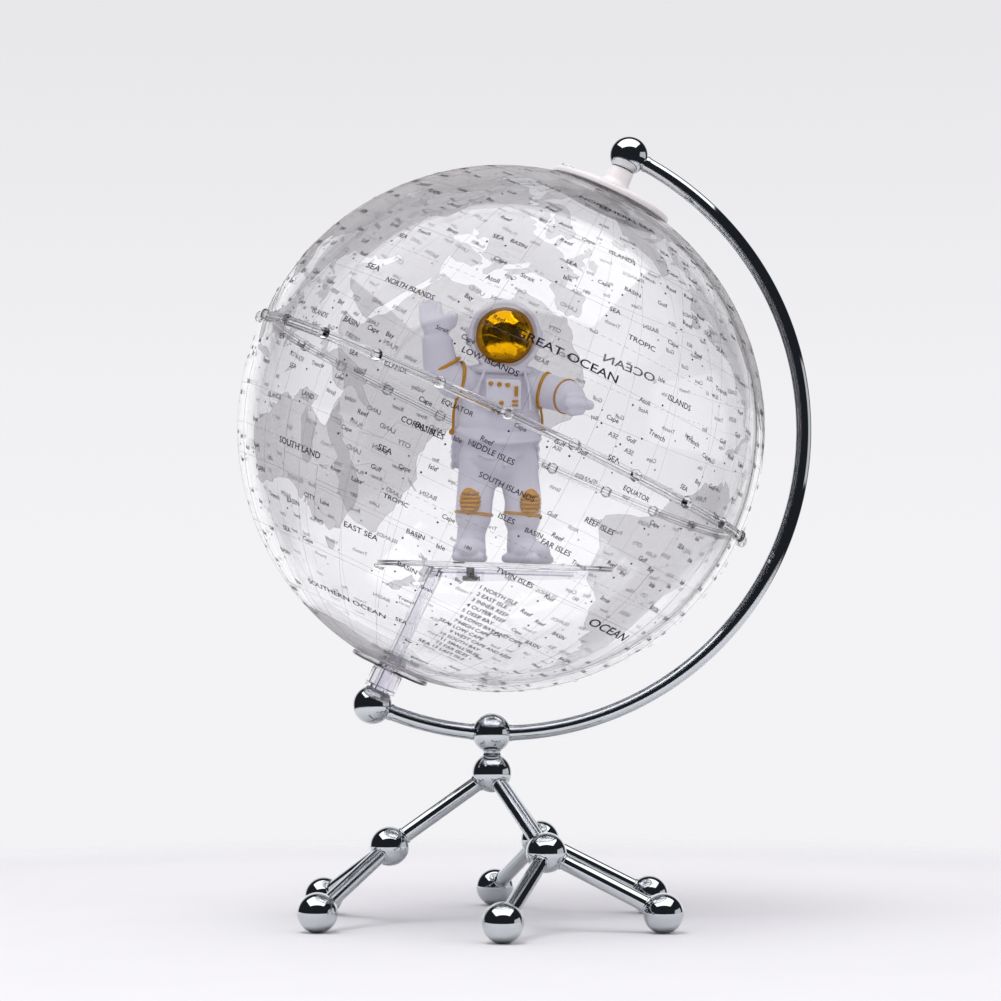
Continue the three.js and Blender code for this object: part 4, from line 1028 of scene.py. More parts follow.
class Printing:
    """The map: land films, graticule, borders, dots and words, all on the outside of the sphere."""

    # Heights of the film's two faces above the sphere, and radii of the printed lines.
    LOW, HIGH = 0.05 * MM, 0.07 * MM
    COAST, GRID, BORDER = 0.05 * MM, 0.055 * MM, 0.07 * MM
    # Words, each with the longitude and latitude of its middle, its letters' height in mm and their stretch.
    HEADINGS = (
        ("GREAT OCEAN", 184, 16, 4.4, 1.35), ("OCEAN", -28, 30, 5.0, 1.5), ("OCEAN", 80, -28, 5.0, 1.5),
        ("OCEAN", -130, -32, 5.0, 1.5), ("SEA", 157, -17, 3.0, 1.2), ("EAST SEA", 156, -36, 3.2, 1.1),
        ("SOUTH LAND", 134, -24, 3.4, 1.1), ("SEA", 134, 17, 3.2, 1.4), ("NORTHERN SEA", 184, 60, 3.6, 1.2),
        ("EQUATOR", 168, -3.2, 2.6, 1.0), ("EQUATOR", -150, -3.2, 2.6, 1.0), ("EQUATOR", 60, -3.2, 2.6, 1.0),
        ("TROPIC", 199, 26, 2.8, 1.2), ("TROPIC", 163, -26, 2.4, 1.2), ("SOUTH ISLANDS", 184, -13.5, 2.9, 1.0),
        ("LOW ISLANDS", 170, 8, 3.1, 1.1), ("NORTH ISLANDS", 146, 15.5, 2.9, 1.0),
        ("SOUTHERN OCEAN", 150, -56, 3.4, 1.2), ("TWIN ISLES", 196, -30.5, 3.0, 1.0),
        ("MIDDLE ISLES", 178, -8.5, 3.0, 1.0), ("FAR ISLES", 200, -20.5, 3.0, 1.0),
        ("CORAL ISLES", 163, -9.8, 3.0, 1.0), ("ISLES", 187, -19.5, 3.0, 1.0),
        ("REEF ISLES", 206, -12.5, 2.9, 1.0),
    )
    # The numbered list in the southern ocean.
    LIST = (
        "NORTH ISLE", "EAST ISLE", "INNER REEF", "OUTER REEF", "DEEP BAY", "LONG BAY AND CAPE", "HIGH CAPE",
        "LOW CAPE", "WEST CAPE AND REEF", "SOUTH BAY", "SMALL ISLES", "FAR ISLES", "LAST ISLE",
    )
    SEED = 236
    TRIES = 4200
    LAND_WORDS = "CITY Port PLAIN Hills DESERT Town River LAND Lake Valley BASIN".split()
    SEA_WORDS = "SEA Gulf Bay ISLANDS Strait Reef Isle Atoll Cape BASIN Trench".split()

    def __init__(self, sphere: Sphere, paints: Paints, repeater: Repeater) -> None:
        """Reads the outlines from the coastline rows."""
        self.sphere = sphere
        self.paints = paints
        self.repeater = repeater
        self.outlines = {row.split()[0]: self.numbers(row.split()[1:]) for row in self.rows(LAND)}
        self.letters: dict[str, Shape] = {}

    @staticmethod
    def rows(block: str) -> list[str]:
        """The rows of a block of text, each joined to the indented rows that carry it on."""
        return block.strip().replace("\n ", " ").splitlines()

    @staticmethod
    def numbers(pairs: Sequence[str]) -> np.ndarray:
        """Rows of longitude and latitude from "longitude,latitude" pairs."""
        return np.array([[float(v) for v in pair.split(",")] for pair in pairs])

    def film(self, directions: np.ndarray) -> Shape:
        """A closed film that fills an outline of directions, following the sphere.

        Args:
            directions: unit vectors along the outline.

        Returns:
            The film's shape.
        """
        middle = directions.mean(0)
        middle /= np.linalg.norm(middle)
        side = np.cross(middle, (0.3, 0.8, 0.52))
        side /= np.linalg.norm(side)
        other = np.cross(middle, side)
        dense: list[np.ndarray] = []
        for a, b in zip(directions, np.roll(directions, -1, 0)):
            steps = max(1, math.ceil(math.acos(float(np.clip(a @ b, -1, 1))) / math.radians(2.0)))
            dense.extend(a + (b - a) * t for t in np.arange(steps) / steps)
        edge = np.array(dense)
        edge /= np.linalg.norm(edge, axis=1)[:, None]

        def flat(d: np.ndarray) -> np.ndarray:
            """Directions laid out on a plane, true to their distance from the middle."""
            angle = np.arccos(np.clip(d @ middle, -1, 1))
            ratio = angle / np.maximum(np.sin(angle), 1e-9)
            return np.stack([d @ side, d @ other], 1) * ratio[:, None]

        rim = flat(edge)
        step = math.radians(2.2)
        xs = np.arange(rim[:, 0].min(), rim[:, 0].max(), step)
        ys = np.arange(rim[:, 1].min(), rim[:, 1].max(), step * 0.87)
        grid = np.array([(x + (k % 2) * step / 2, y) for k, y in enumerate(ys) for x in xs]).reshape(-1, 2)
        clear_of_rim = [float(np.min(((rim - spot) ** 2).sum(1))) > (step * 0.45) ** 2 for spot in grid]
        grid = grid[clear_of_rim]
        plane = [Vector(p) for p in np.concatenate([rim, grid])]
        loop = [(i, (i + 1) % len(rim)) for i in range(len(rim))]
        verts, _, tris, *_ = delaunay_2d_cdt(plane, loop, [], 1, 1e-6)
        found = np.array([tuple(v) for v in verts])
        angle = np.linalg.norm(found, axis=1)
        ratio = np.sin(angle) / np.maximum(angle, 1e-12)
        back = np.outer(np.cos(angle), middle) + (found * ratio[:, None]) @ np.stack([side, other])
        return self.sphere.skin(back, tris, self.LOW, self.HIGH)

    def is_land(self, lon: float, lat: float) -> bool:
        """Whether a place lies inside a coastline."""
        inside = False
        for outline in self.outlines.values():
            for shift in (0, 360, -360):
                x, y = outline[:, 0], outline[:, 1]
                x2, y2 = np.roll(x, -1), np.roll(y, -1)
                crossing = (y > lat) != (y2 > lat)
                with np.errstate(divide="ignore", invalid="ignore"):
                    reach = x + (lat - y) / (y2 - y) * (x2 - x)
                inside ^= bool(np.count_nonzero(crossing & (lon + shift < reach)) % 2)
        return inside

    def line(self, lon_lat: np.ndarray, radius: float, closed: bool = False) -> Shape:
        """A thin raised line through places on the sphere, along great circles."""
        ends = self.sphere.directions(lon_lat)
        dense: list[np.ndarray] = []
        for a, b in zip(ends, ends[1:]):
            steps = max(2, math.ceil(math.acos(float(np.clip(a @ b, -1, 1))) / math.radians(2.5)))
            dense.extend(a + (b - a) * t for t in np.arange(steps) / steps)
        dense.append(ends[-1])
        path = np.array(dense)
        path /= np.linalg.norm(path, axis=1)[:, None]
        if closed:
            path = path[:-1]
        return sweep(self.sphere.at(path, self.LOW), radius, 4, closed)

    def graticule(self) -> None:
        """Meridians every 15 degrees, parallels, and the dashed tropics and circles."""
        r = self.sphere.radius + 0.06 * MM
        leaning = self.sphere.layout.leaning
        paint = self.paints.lines

        def parallel(latitude: float, angles: np.ndarray) -> np.ndarray:
            """Points of a parallel at these angles round the axis."""
            t = math.radians(latitude)
            return np.stack([np.cos(angles), np.sin(angles), 0 * angles + math.tan(t)], 1) * r * math.cos(t)

        def repeated(name: str, shape: Shape, copies: int) -> None:
            """Adds copies of a line, all round the axis."""
            mesh = self.repeater.ring(name, shape, copies, 2 * math.pi / copies, paint)
            mesh.transform(leaning)
            place(name, mesh, paint, Body.GLOBE)

        turns = np.radians(np.linspace(-82, 82, 90))
        half = np.stack([np.cos(turns), 0 * turns, np.sin(turns)], 1) * r
        start = Matrix.Rotation(-math.pi / 2 - math.radians(Sphere.FACING_LONGITUDE), 4, "Z")
        repeated("graticule_meridians", sweep(half, self.GRID, 4).moved(start), 24)
        latitudes = (-75, -60, -45, -30, -15, 15, 30, 45, 60, 75)
        circles = [sweep(parallel(latitude, around(160)), self.GRID, 4, True) for latitude in latitudes]
        place("graticule_parallels", Shape.joined(circles).moved(leaning), paint, Body.GLOBE)
        spread = np.radians(np.linspace(-0.55, 0.55, 3))
        for name, latitude in (("tropic", 23.4), ("circle", 66.6)):
            for side, sign in (("n", 1), ("s", -1)):
                repeated(f"print_{name}_{side}", sweep(parallel(sign * latitude, spread), self.BORDER, 4), 180)

    def word(self, text: str) -> Shape:
        """A word's flat outline, one unit high, as a closed slab of one unit thickness in Z."""
        if text not in self.letters:
            curve = bpy.data.curves.new("word", "FONT")
            curve.body = text
            curve.align_x = curve.align_y = "CENTER"
            curve.resolution_u, curve.offset, curve.extrude = 3, 0.012, 0.5
            source = bpy.data.objects.new(curve.name, curve)
            bpy.context.scene.collection.objects.link(source)
            graph = bpy.context.evaluated_depsgraph_get()
            mesh = bpy.data.meshes.new_from_object(source.evaluated_get(graph))
            points = np.empty(len(mesh.vertices) * 3)
            mesh.vertices.foreach_get("co", points)
            faces = [tuple(p.vertices) for p in mesh.polygons]
            self.letters[text] = Shape(points.reshape(-1, 3), faces)
            bpy.data.objects.remove(source)
            bpy.data.meshes.remove(mesh)
            bpy.data.curves.remove(curve)
        return self.letters[text]

    def printed(
        self, text: str, lon: float, lat: float, height: float, wide: float = 1.0, turn: float = 0.0
    ) -> Shape:
        """A word wrapped on the sphere.

        Args:
            text: generic words or figures.
            lon: longitude of its middle, in degrees.
            lat: latitude of its middle, in degrees.
            height: of its letters, in metres.
            wide: stretch along its line.
            turn: degrees anticlockwise from due east.

        Returns:
            The closed letters.
        """
        flat = self.word(text)
        spin = math.radians(turn)
        x = flat.points[:, 0] * height * wide
        y = flat.points[:, 1] * height
        east = x * math.cos(spin) - y * math.sin(spin)
        north = x * math.sin(spin) + y * math.cos(spin)
        degree = math.degrees(1 / self.sphere.radius)
        lats = lat + north * degree
        lons = lon + east * degree / math.cos(math.radians(lat))
        rise = self.LOW + (flat.points[:, 2] + 0.5) * (self.HIGH - self.LOW) + 0.03 * MM
        spots = self.sphere.directions(np.stack([lons, lats], 1))
        places = np.array(self.sphere.layout.globe) + spots * (self.sphere.radius + rise)[:, None]
        return Shape(places, flat.faces)

    def dot(self, lon: float, lat: float, radius: float) -> Shape:
        """A small raised round dot."""
        spot = self.sphere.directions(np.array([[lon, lat]]))[0]
        profile = [(0.0, 0.0), (radius, 0.0), (radius, 0.04 * MM), (0.0, 0.04 * MM)]
        return lathe(profile, 10).moved(axis_frame(self.sphere.at(spot, self.LOW), spot))

    def build(self) -> None:
        """Adds every printed piece."""
        for name, outline in self.outlines.items():
            shape = self.film(self.sphere.directions(outline))
            place(f"land_{name}", shape, self.paints.land, Body.GLOBE, (), 60)
        self.graticule()
        borders = [self.line(self.numbers(row.split()), self.BORDER) for row in self.rows(BORDERS)]
        for outline in self.outlines.values():
            closed = np.concatenate([outline, outline[:1]])
            borders.append(self.line(closed, self.COAST, True))
        place("print_borders", Shape.joined(borders), self.paints.lines, Body.GLOBE)
        self.words()

    def words(self) -> None:
        """Scatters generic words and dots from a fixed seed, land and sea words each in their own place."""
        random = np.random.default_rng(self.SEED)
        north: list[Shape] = []
        south: list[Shape] = []
        taken: list[tuple[np.ndarray, float]] = []

        def put(shape: Shape, lat: float) -> None:
            """Adds a word or a dot to its hemisphere."""
            (north if lat >= 0 else south).append(shape)

        def reserve(lon: float, lat: float, reach: float) -> bool:
            """Takes a place and the radians round it, or says that another word has it."""
            spot = self.sphere.directions(np.array([[lon, lat]]))[0]
            if any(float(spot @ other) > math.cos(reach + r) for other, r in taken):
                return False
            taken.append((spot, reach))
            return True

        for text, lon, lat, size, wide in self.HEADINGS:
            reserve(lon, lat, len(text) * size * wide * 0.36 / 100)
            put(self.printed(text, lon, lat, size * MM, wide), lat)
        for k, text in enumerate(self.LIST):
            lat, lon = -36.0 - 1.85 * k, 189.0 + len(text) * 0.62 * (1.0 + 0.03 * k)
            reserve(lon, lat, len(text) * 0.0052)
            put(self.printed(f"{k + 1} {text}", lon, lat, 2.5 * MM), lat)
        for lon in range(-180, 180, 30):
            for lat in (-30, 30):
                reserve(lon + 2, lat + 1, 0.02)
                put(self.printed(f"{abs(lon)}", lon + 2.4, lat + 1.2, 2.0 * MM), lat)
        for _ in range(self.TRIES):
            z = random.uniform(-0.93, 0.98)
            lat, lon = math.degrees(math.asin(z)), float(random.uniform(-180, 180))
            land = self.is_land(lon, lat)
            text = str(random.choice(self.LAND_WORDS if land else self.SEA_WORDS))
            size = float(random.uniform(2.5, 3.0) if text.isupper() else random.uniform(2.2, 2.7))
            if not land and random.random() < 0.45:
                continue
            if reserve(lon, lat, len(text) * size * 0.0030 + 0.007):
                put(self.printed(text, lon, lat, size * MM, 1.0, float(random.uniform(-4, 4))), lat)
                if random.random() < 0.6:
                    put(self.dot(lon - len(text) * size * 0.2, lat - size * 0.75, 0.4 * MM), lat)
        for name, shapes in (("print_words_north", north), ("print_words_south", south)):
            LOG.info("%s: %d words and dots", name, len(shapes))
            made = place(name, Shape.joined(shapes), self.paints.words, Body.GLOBE)
            made.data.materials.append(self.paints.backing)
            for polygon in made.data.polygons:
                outwards = polygon.normal.dot(polygon.center - self.sphere.layout.globe) > 0
                polygon.material_index = 0 if outwards else 1
            LOG.info("%s: %d triangles", name, sum(len(p.vertices) - 2 for p in made.data.polygons))


# ---------------------------------------------------------------- the sphere and its pole fittings


@dataclass(frozen=True)
class GlobeSizes:
    """Sizes of the sphere and its fittings, in millimetres.

    Attributes:
        radius: of the sphere's outside.
        wall: of its shells.
        pole_hole: radius of the hole at each pole.
        dial: radius of the white dial at the north pole.
        cap: radius of the clear cap at the south pole.
        band: half the width of the joint ring.
        bush: radius of a bush's flange.
        pin_bore: radius of the bores that the north pin runs in.
        pillar_bore: radius of the bores that the pillar runs in.
        seat: gap between the sphere and what sits on it.
        studs: how many the joint ring has.
    """

    radius: float = 100.0
    wall: float = 3.0
    pole_hole: float = 7.0
    dial: float = 24.0
    cap: float = 15.5
    band: float = 1.65
    bush: float = 10.0
    pin_bore: float = 2.2
    pillar_bore: float = 3.2
    seat: float = 0.3
    studs: int = 24


@dataclass
class Globe:
    """Clear shells, joint ring and pole fittings."""

    layout: Layout
    sizes: GlobeSizes
    paints: Paints
    repeater: Repeater

    def turned(self, profile: Profile, segments: int = 96, side: int = 1) -> Shape:
        """A profile in millimetres turned about the sphere's axis, towards its north or south pole."""
        return lathe(in_mm((r, side * h) for r, h in profile), segments).moved(self.layout.leaning)

    def add(
        self, node: str, name: str, shape: Shape, paint: bpy.types.Material, slot: Slot, sharp_deg: float = 50.0
    ) -> None:
        """Adds a piece that stands for one node of the turning body."""
        place(name, shape, paint, Body.GLOBE, [node], sharp_deg)

    def shell(self, side: int) -> Shape:
        """One half of the sphere, with its pole hole."""
        s = self.sizes
        inner = s.radius - s.wall
        edge = math.degrees(0.5 / s.radius)
        ends = [math.degrees(math.acos(s.pole_hole / r)) for r in (s.radius, inner)]
        profile = arc(s.radius, edge, ends[0], 110) + arc(inner, ends[1], edge, 110)
        return self.turned(profile, 288, side)

    def ring(self) -> None:
        """The clear joint ring and its domed studs."""
        s, paint = self.sizes, self.paints.acrylic
        outer, inner, web = s.radius + 0.25, s.radius - s.wall - 0.25, 0.35
        half = [(inner - 0.9, s.band), (inner, s.band), (inner, web), (outer, web), (outer, s.band)]
        half.append((outer + 0.95, s.band))
        section = [(r, -h) for r, h in half] + half[::-1]
        band = self.turned(rounded(section, 0.42), 288)
        self.add("equator_ring", "clear_equator_ring", band, paint, Slot.ACRYLIC, 60)
        dome = [(0, -0.2), (2.2, -0.2), (2.35, 0.5), (2.1, 1.3), (1.5, 1.9), (0.8, 2.15), (0, 2.2)]
        stud = lathe(in_mm(dome), 28).moved(axis_frame(((s.radius + 0.9) * MM, 0, 0), (1, 0, 0)))
        mesh = self.repeater.ring("clear_ring_studs", stud, s.studs, 2 * math.pi / s.studs, paint, 0.004)
        mesh.transform(self.layout.leaning)
        place("clear_ring_studs", mesh, paint, Body.GLOBE)

    def build(self) -> None:
        """Adds the sphere and everything that turns with it, except the print."""
        acrylic = self.paints.acrylic
        self.add("north_hemisphere", "clear_north_shell", self.shell(1), acrylic, Slot.ACRYLIC, 60)
        self.add("south_hemisphere", "clear_south_shell", self.shell(-1), acrylic, Slot.ACRYLIC, 60)
        self.ring()
        self.north_fittings()
        self.bushes()
        self.south_cap()

    def north_fittings(self) -> None:
        """The white dial and its flared collar, and the small clear knob on the dial."""
        s, p = self.sizes, self.paints
        bore, skin, top = s.pin_bore, s.radius + s.seat, s.radius + 2.1
        rim = math.sqrt(s.radius**2 - s.dial**2) + s.seat
        dial = [(bore, skin), *arc(skin, 88.5, 76.6, 10), (s.dial, rim + 0.4), (s.dial + 0.1, rim + 1.2),
                (s.dial, rim + 2.1), (s.dial - 0.5, rim + 2.5), (s.dial - 1.1, rim + 2.5),
                (s.dial - 8, s.radius + 1.5), (7.5, top), (bore, top)]
        self.add("north_dial", "white_north_dial", self.turned(dial, 144), p.white, Slot.WHITE)
        head = self.layout.arm_radius / MM - math.sqrt(StandSizes.ball**2 - StandSizes.flat_north**2) - 0.25
        foot = top + 0.1
        flare = [(bore, foot), (7.6, foot), (5.9, foot + 1.1), (5.0, foot + 2.6), (4.75, head), (bore, head)]
        collar = self.turned(rounded(flare, 0.4), 72)
        self.add("north_collar", "white_north_collar", collar, p.white, Slot.WHITE)
        low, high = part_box("dial_knob")
        knob = rounded([(0, 0), (2.7, 0), (2.7, 0.7), (1.5, 1.5), (0, 1.7)], 0.4)
        where = axis_frame((low + high) / 2 - self.layout.axis * 0.85 * MM, self.layout.axis)
        shape = lathe(in_mm(knob), 32).moved(where)
        self.add("dial_knob", "clear_dial_knob", shape, p.thick_acrylic, Slot.ACRYLIC)

    def bushes(self) -> None:
        """The bush in each pole hole, flanged inside the shell."""
        s, p = self.sizes, self.paints
        face = math.sqrt((s.radius - s.wall) ** 2 - s.bush**2) - s.seat
        neck, end = s.pole_hole - s.seat, s.radius - 0.5
        for side, bore, node, paint, slot in (
            (1, s.pin_bore, "north_bush", p.white, Slot.WHITE),
            (-1, s.pillar_bore, "south_bush", p.thick_acrylic, Slot.ACRYLIC),
        ):
            flange = [(bore, face - 1.8), (s.bush, face - 1.8), (s.bush, face)]
            bush = rounded([*flange, (neck, face), (neck, end), (bore, end)], 0.3)
            self.add(node, f"fitting_{node}", self.turned(bush, 72, side), paint, slot)

    def south_cap(self) -> None:
        """The clear cap round the pillar, under the sphere."""
        s = self.sizes
        bore, skin, top = s.pillar_bore, s.radius + s.seat, s.radius + 1.6
        rim = math.sqrt(s.radius**2 - s.cap**2) + s.seat
        cap = [(bore, skin), *arc(skin, 87.5, 81.3, 8), (s.cap, rim + 0.4), (s.cap, rim + 1.3),
               (s.cap - 0.5, rim + 1.8), (s.cap - 1.2, rim + 2), (8, top), (bore, top)]
        shape = self.turned(cap, 120, -1)
        self.add("south_cap", "clear_south_cap", shape, self.paints.thick_acrylic, Slot.ACRYLIC)


# ---------------------------------------------------------------- the platform inside


@dataclass(frozen=True)
class PlatformSizes:
    """Sizes of the clear platform and its bracket, in millimetres, and the platform's lean in degrees."""

    radius: float = 45.0
    thick: float = 2.0
    gap: float = 0.3
    pillar: float = 3.0
    pillar_bore: float = 1.4
    pillar_top: float = -58.5
    rib: float = 2.8
    lean_deg: float = 1.7


class Platform:
    """The clear pillar, bracket and disc inside the sphere, with their screw."""

    def __init__(self, layout: Layout, sizes: PlatformSizes, paints: Paints) -> None:
        """Works out the platform's own frame, from the middle of its upper face."""
        self.layout = layout
        self.sizes = sizes
        self.paints = paints
        low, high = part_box("platform_disc")
        turn = Matrix.Rotation(math.radians(sizes.lean_deg), 4, "Y")
        lift = Matrix.Translation((0, 0, sizes.thick / 2 * MM))
        self.level = Matrix.Translation((low + high) / 2) @ turn @ lift

    def add(self, node: str, name: str, shape: Shape, where: Matrix, sharp_deg: float = 40.0) -> None:
        """Adds a clear piece that stands for one node of the arm's body."""
        place(name, shape.moved(where), self.paints.thick_acrylic, Body.ARM, [node], sharp_deg)

    def bracket(self, under: float, screw_x: float) -> Shape:
        """A rib that thins outwards, with a thick back, and the square cup round the screw.

        Args:
            under: height of its top face below the platform's upper face, in millimetres.
            screw_x: where the screw stands, in metres.

        Returns:
            The shape in the platform's frame.
        """
        side = [(-28, 0), (-28, 2.2), (-14.6, 4.6), (-4, 4.6), (34.5, 2.6), (37.5, 1.8), (37.5, 0)]
        half, n = self.sizes.rib / 2, len(side)
        points = in_mm((x, y, under - drop) for y in (-half, half) for x, drop in side)
        faces: list[tuple[int, ...]] = [tuple(range(n)), tuple(range(2 * n - 1, n - 1, -1))]
        faces += [((i + 1) % n, i, i + n, (i + 1) % n + n) for i in range(n)]
        wall = rounded([(3.2, under - 4.7), (5.3, under - 4.7), (5.3, under), (3.2, under)], 0.25)
        square = Matrix.Rotation(math.pi / 4, 4, "Z") @ Matrix.Diagonal((1.38, 1.38, 1, 1))
        cup = lathe(in_mm(wall), 4).moved(Matrix.Translation((screw_x, 0, 0)) @ square)
        back = sweep(np.array(in_mm([(-24, 0, under - 1), (30, 0, under - 1)])), 0.9 * MM, 16)
        return Shape.joined([Shape(np.array(points), faces), cup, back])

    def build(self) -> None:
        """Adds the clear parts and the screw."""
        s, lay = self.sizes, self.layout
        under, arm = -s.thick - s.gap, lay.arm_radius / MM
        disc = rounded([(0, -s.thick), (s.radius, -s.thick), (s.radius, 0), (0, 0)], 0.35)
        self.add("platform_disc", "clear_platform", lathe(in_mm(disc), 160), self.level)
        low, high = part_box("bracket_screw")
        screw_x = (self.level.inverted() @ ((low + high) / 2)).x
        self.add("platform_bracket", "clear_bracket", self.bracket(under, screw_x), self.level, 30)
        top, tip = under - 2.7, -s.thick + 0.8
        head = [(0, top - 2.1), (2.1, top - 2.1), (2.9, top - 1.3), (2.9, top)]
        screw = lathe(in_mm(rounded([*head, (1.5, top), (1.5, tip), (0, tip)], 0.25)), 40)
        screw = screw.moved(self.level @ Matrix.Translation((screw_x, 0, 0)))
        place("steel_bracket_screw", screw, self.paints.steel, Body.ARM, ["bracket_screw"])
        foot, bore = -arm - 1, s.pillar_bore
        tube = rounded([(bore, foot), (s.pillar, foot), (s.pillar, s.pillar_top), (bore, s.pillar_top)], 0.2)
        self.add("pillar", "clear_pillar", lathe(in_mm(tube), 48), lay.leaning)
        rim = -(GlobeSizes.radius + 1.6 + s.gap)
        foot = -arm + math.sqrt(StandSizes.ball**2 - StandSizes.flat_south**2) + 0.1
        bore, inner, floor = GlobeSizes.pillar_bore, 4.7, foot + 1.4
        collar = rounded([(bore, foot), (6, foot), (6, rim), (inner, rim), (inner, floor), (bore, floor)], 0.3)
        self.add("south_collar", "clear_south_collar", lathe(in_mm(collar), 72), lay.leaning)


# ---------------------------------------------------------------- the figure


@dataclass(frozen=True)
class FigureSizes:
    """Main sizes of the astronaut, in millimetres from the platform's middle; it faces -Y."""

    helmet: tuple[float, float, float] = (1.9, 0.5, 86.6)
    helmet_radius: float = 14.0
    visor: tuple[float, float, float] = (1.9, -4.2, 86.3)
    visor_radius: float = 11.5
    skin_voxel: float = 0.55


class Figure:
    """The astronaut: a soft moulded suit with a gold visor, pads, bands and buttons."""

    def __init__(self, level: Matrix, sizes: FigureSizes, paints: Paints) -> None:
        """Takes the platform's own frame, and turns millimetres in it to metres."""
        self.level = level @ Matrix.Scale(MM, 4) @ Matrix.Translation((-0.9, 0, 0))
        self.sizes = sizes
        self.paints = paints

    def skin(self, name: str, parts: Sequence[Shape], nodes: Sequence[str], smooth: int = 6) -> None:
        """One fused part of the suit."""
        moved = [part.moved(self.level) for part in parts]
        mesh = melted(name, moved, self.sizes.skin_voxel, smooth)
        place(name, mesh, self.paints.vinyl, Body.ARM, nodes)

    def hard(
        self,
        name: str,
        parts: Sequence[Shape],
        paint: bpy.types.Material,
        nodes: Sequence[str] = (),
    ) -> None:
        """One part with crisp edges."""
        place(name, Shape.joined(parts).moved(self.level), paint, Body.ARM, nodes)

    def build(self) -> None:
        """Adds the whole figure."""
        self.trunk()
        self.head()
        self.arms()
        self.feet()
        self.trim()

    def trunk(self) -> None:
        """Jacket, trousers, chest pack and backpack."""
        hem = [(-15.2, -3.5, 50.2), (-8, -9.6, 47), (2, -12, 45.6), (10, -10.6, 46.3), (16.6, -4.2, 47.6)]
        parts = [
            ellipsoid((0.7, 0.4, 62), (15.8, 10.6, 13.5)),
            ellipsoid((0.7, 0.2, 54), (16.4, 11.3, 9.5)),
            ellipsoid((0.7, 0, 67.5), (14.2, 9.2, 8.6)),
            ellipsoid((0.7, -0.4, 49), (16.6, 11.9, 3.6)),
            ellipsoid((0.8, -1.6, 48), (14.6, 11.0, 4.4)),
            ellipsoid((0.8, 0.3, 40), (14.9, 10.3, 11)),
            limb((-6.4, 0, 37), (-7.6, -0.5, 24), 7.6, 7.0),
            limb((-7.6, -0.5, 24), (-7.9, 0.2, 17.5), 7.0, 6.9),
            limb((-7.9, 0.2, 17.5), (-8.2, 0.5, 10.5), 6.7, 5.0),
            limb((8.4, 0, 37), (10.9, -0.5, 24), 7.6, 7.0),
            limb((10.9, -0.5, 24), (10.7, 0.2, 17.5), 7.0, 7.0),
            limb((10.7, 0.2, 17.5), (10.8, 0.5, 10.5), 6.8, 5.0),
            cord(hem, 1.1, 14),
            cord([(-5.2, -8.2, 73), (-7.4, -10.4, 66), (-8.6, -11.2, 59)], 0.75, 10),
            cord([(9.6, -7.6, 73), (11.4, -9.6, 66), (12.4, -10.2, 58)], 0.75, 10),
            cord([(-7.5, -9.8, 41), (-3, -10.6, 39.5), (1, -10.4, 40)], 0.5, 8),
            cord([(3, -10.4, 36.5), (7, -10, 38.5), (11, -8.2, 41)], 0.5, 8),
            cord([(-13.6, -1, 19.6), (-8, -6.9, 18.4), (-2, -3.6, 19.2)], 0.7, 8),
            cord([(4.6, -3.6, 19.2), (10.4, -6.9, 18.6), (16.4, -2.6, 19.6)], 0.7, 8),
        ]
        self.skin("figure_suit_skin", parts, ["figure_suit"], 4)
        pocket = box_shape((-4.8, -15.2, 58), (8.5, -9.2, 69.3), 1.1)
        self.hard("figure_chest_box", [pocket], self.paints.vinyl, ["figure_chest_pack"])
        pack = [box_shape((-16.4, 8.2, 36), (16.2, 18, 73.5), 3.0)]
        for side in (-16.2, 16.0):
            pack += [ellipsoid((side, 11, z), (1.1, 3.0, 1.75), 16) for z in (37.5, 41, 44.5, 48, 51.5)]
        pack.append(box_shape((-10, 15, 44), (10, 18.6, 66), 2.0))
        self.skin("figure_backpack_skin", pack, ["figure_backpack"], 2)

    def head(self) -> None:
        """Helmet, its rim and side discs, the collar and the mirrored visor."""
        s = self.sizes
        x, y, z = s.helmet
        opening = axis_frame(s.visor, (0, -1, 0))
        rim = lathe(hoop(s.visor_radius + 1.2, 3.1, 1.15, 1.7, 16), 72)
        collar = lathe(hoop(9.2, 0.0, 2.6, 2.0, 16), 48)
        disc = lathe([(0, -1), (3.4, -1), (3.8, 0), (3.0, 1.3), (0, 1.3)], 32)
        parts = [
            ellipsoid((x, y, z), (13.4, 13.2, 14.0), 48),
            rim.moved(opening),
            collar.moved(Matrix.Translation((1.4, 0.2, 73.4)) @ Matrix.Diagonal((1.16, 0.92, 0.9, 1))),
            ellipsoid((1.4, 0.6, 74.6), (10.6, 7.6, 2.2)),
            *(disc.moved(axis_frame((x + side * 13.4, 0.5, z - 0.4), (side, 0, 0))) for side in (-1, 1)),
        ]
        self.skin("figure_helmet_skin", parts, ["figure_helmet"], 3)
        bulge = [(r, h) for r, h in arc(s.visor_radius, 90, 12, 26)]
        bulge[0] = (0.0, s.visor_radius)
        visor = lathe([*bulge, (0.0, bulge[-1][1])], 96).moved(opening)
        self.hard("figure_visor_mirror", [visor], self.paints.gold, ["figure_visor"])

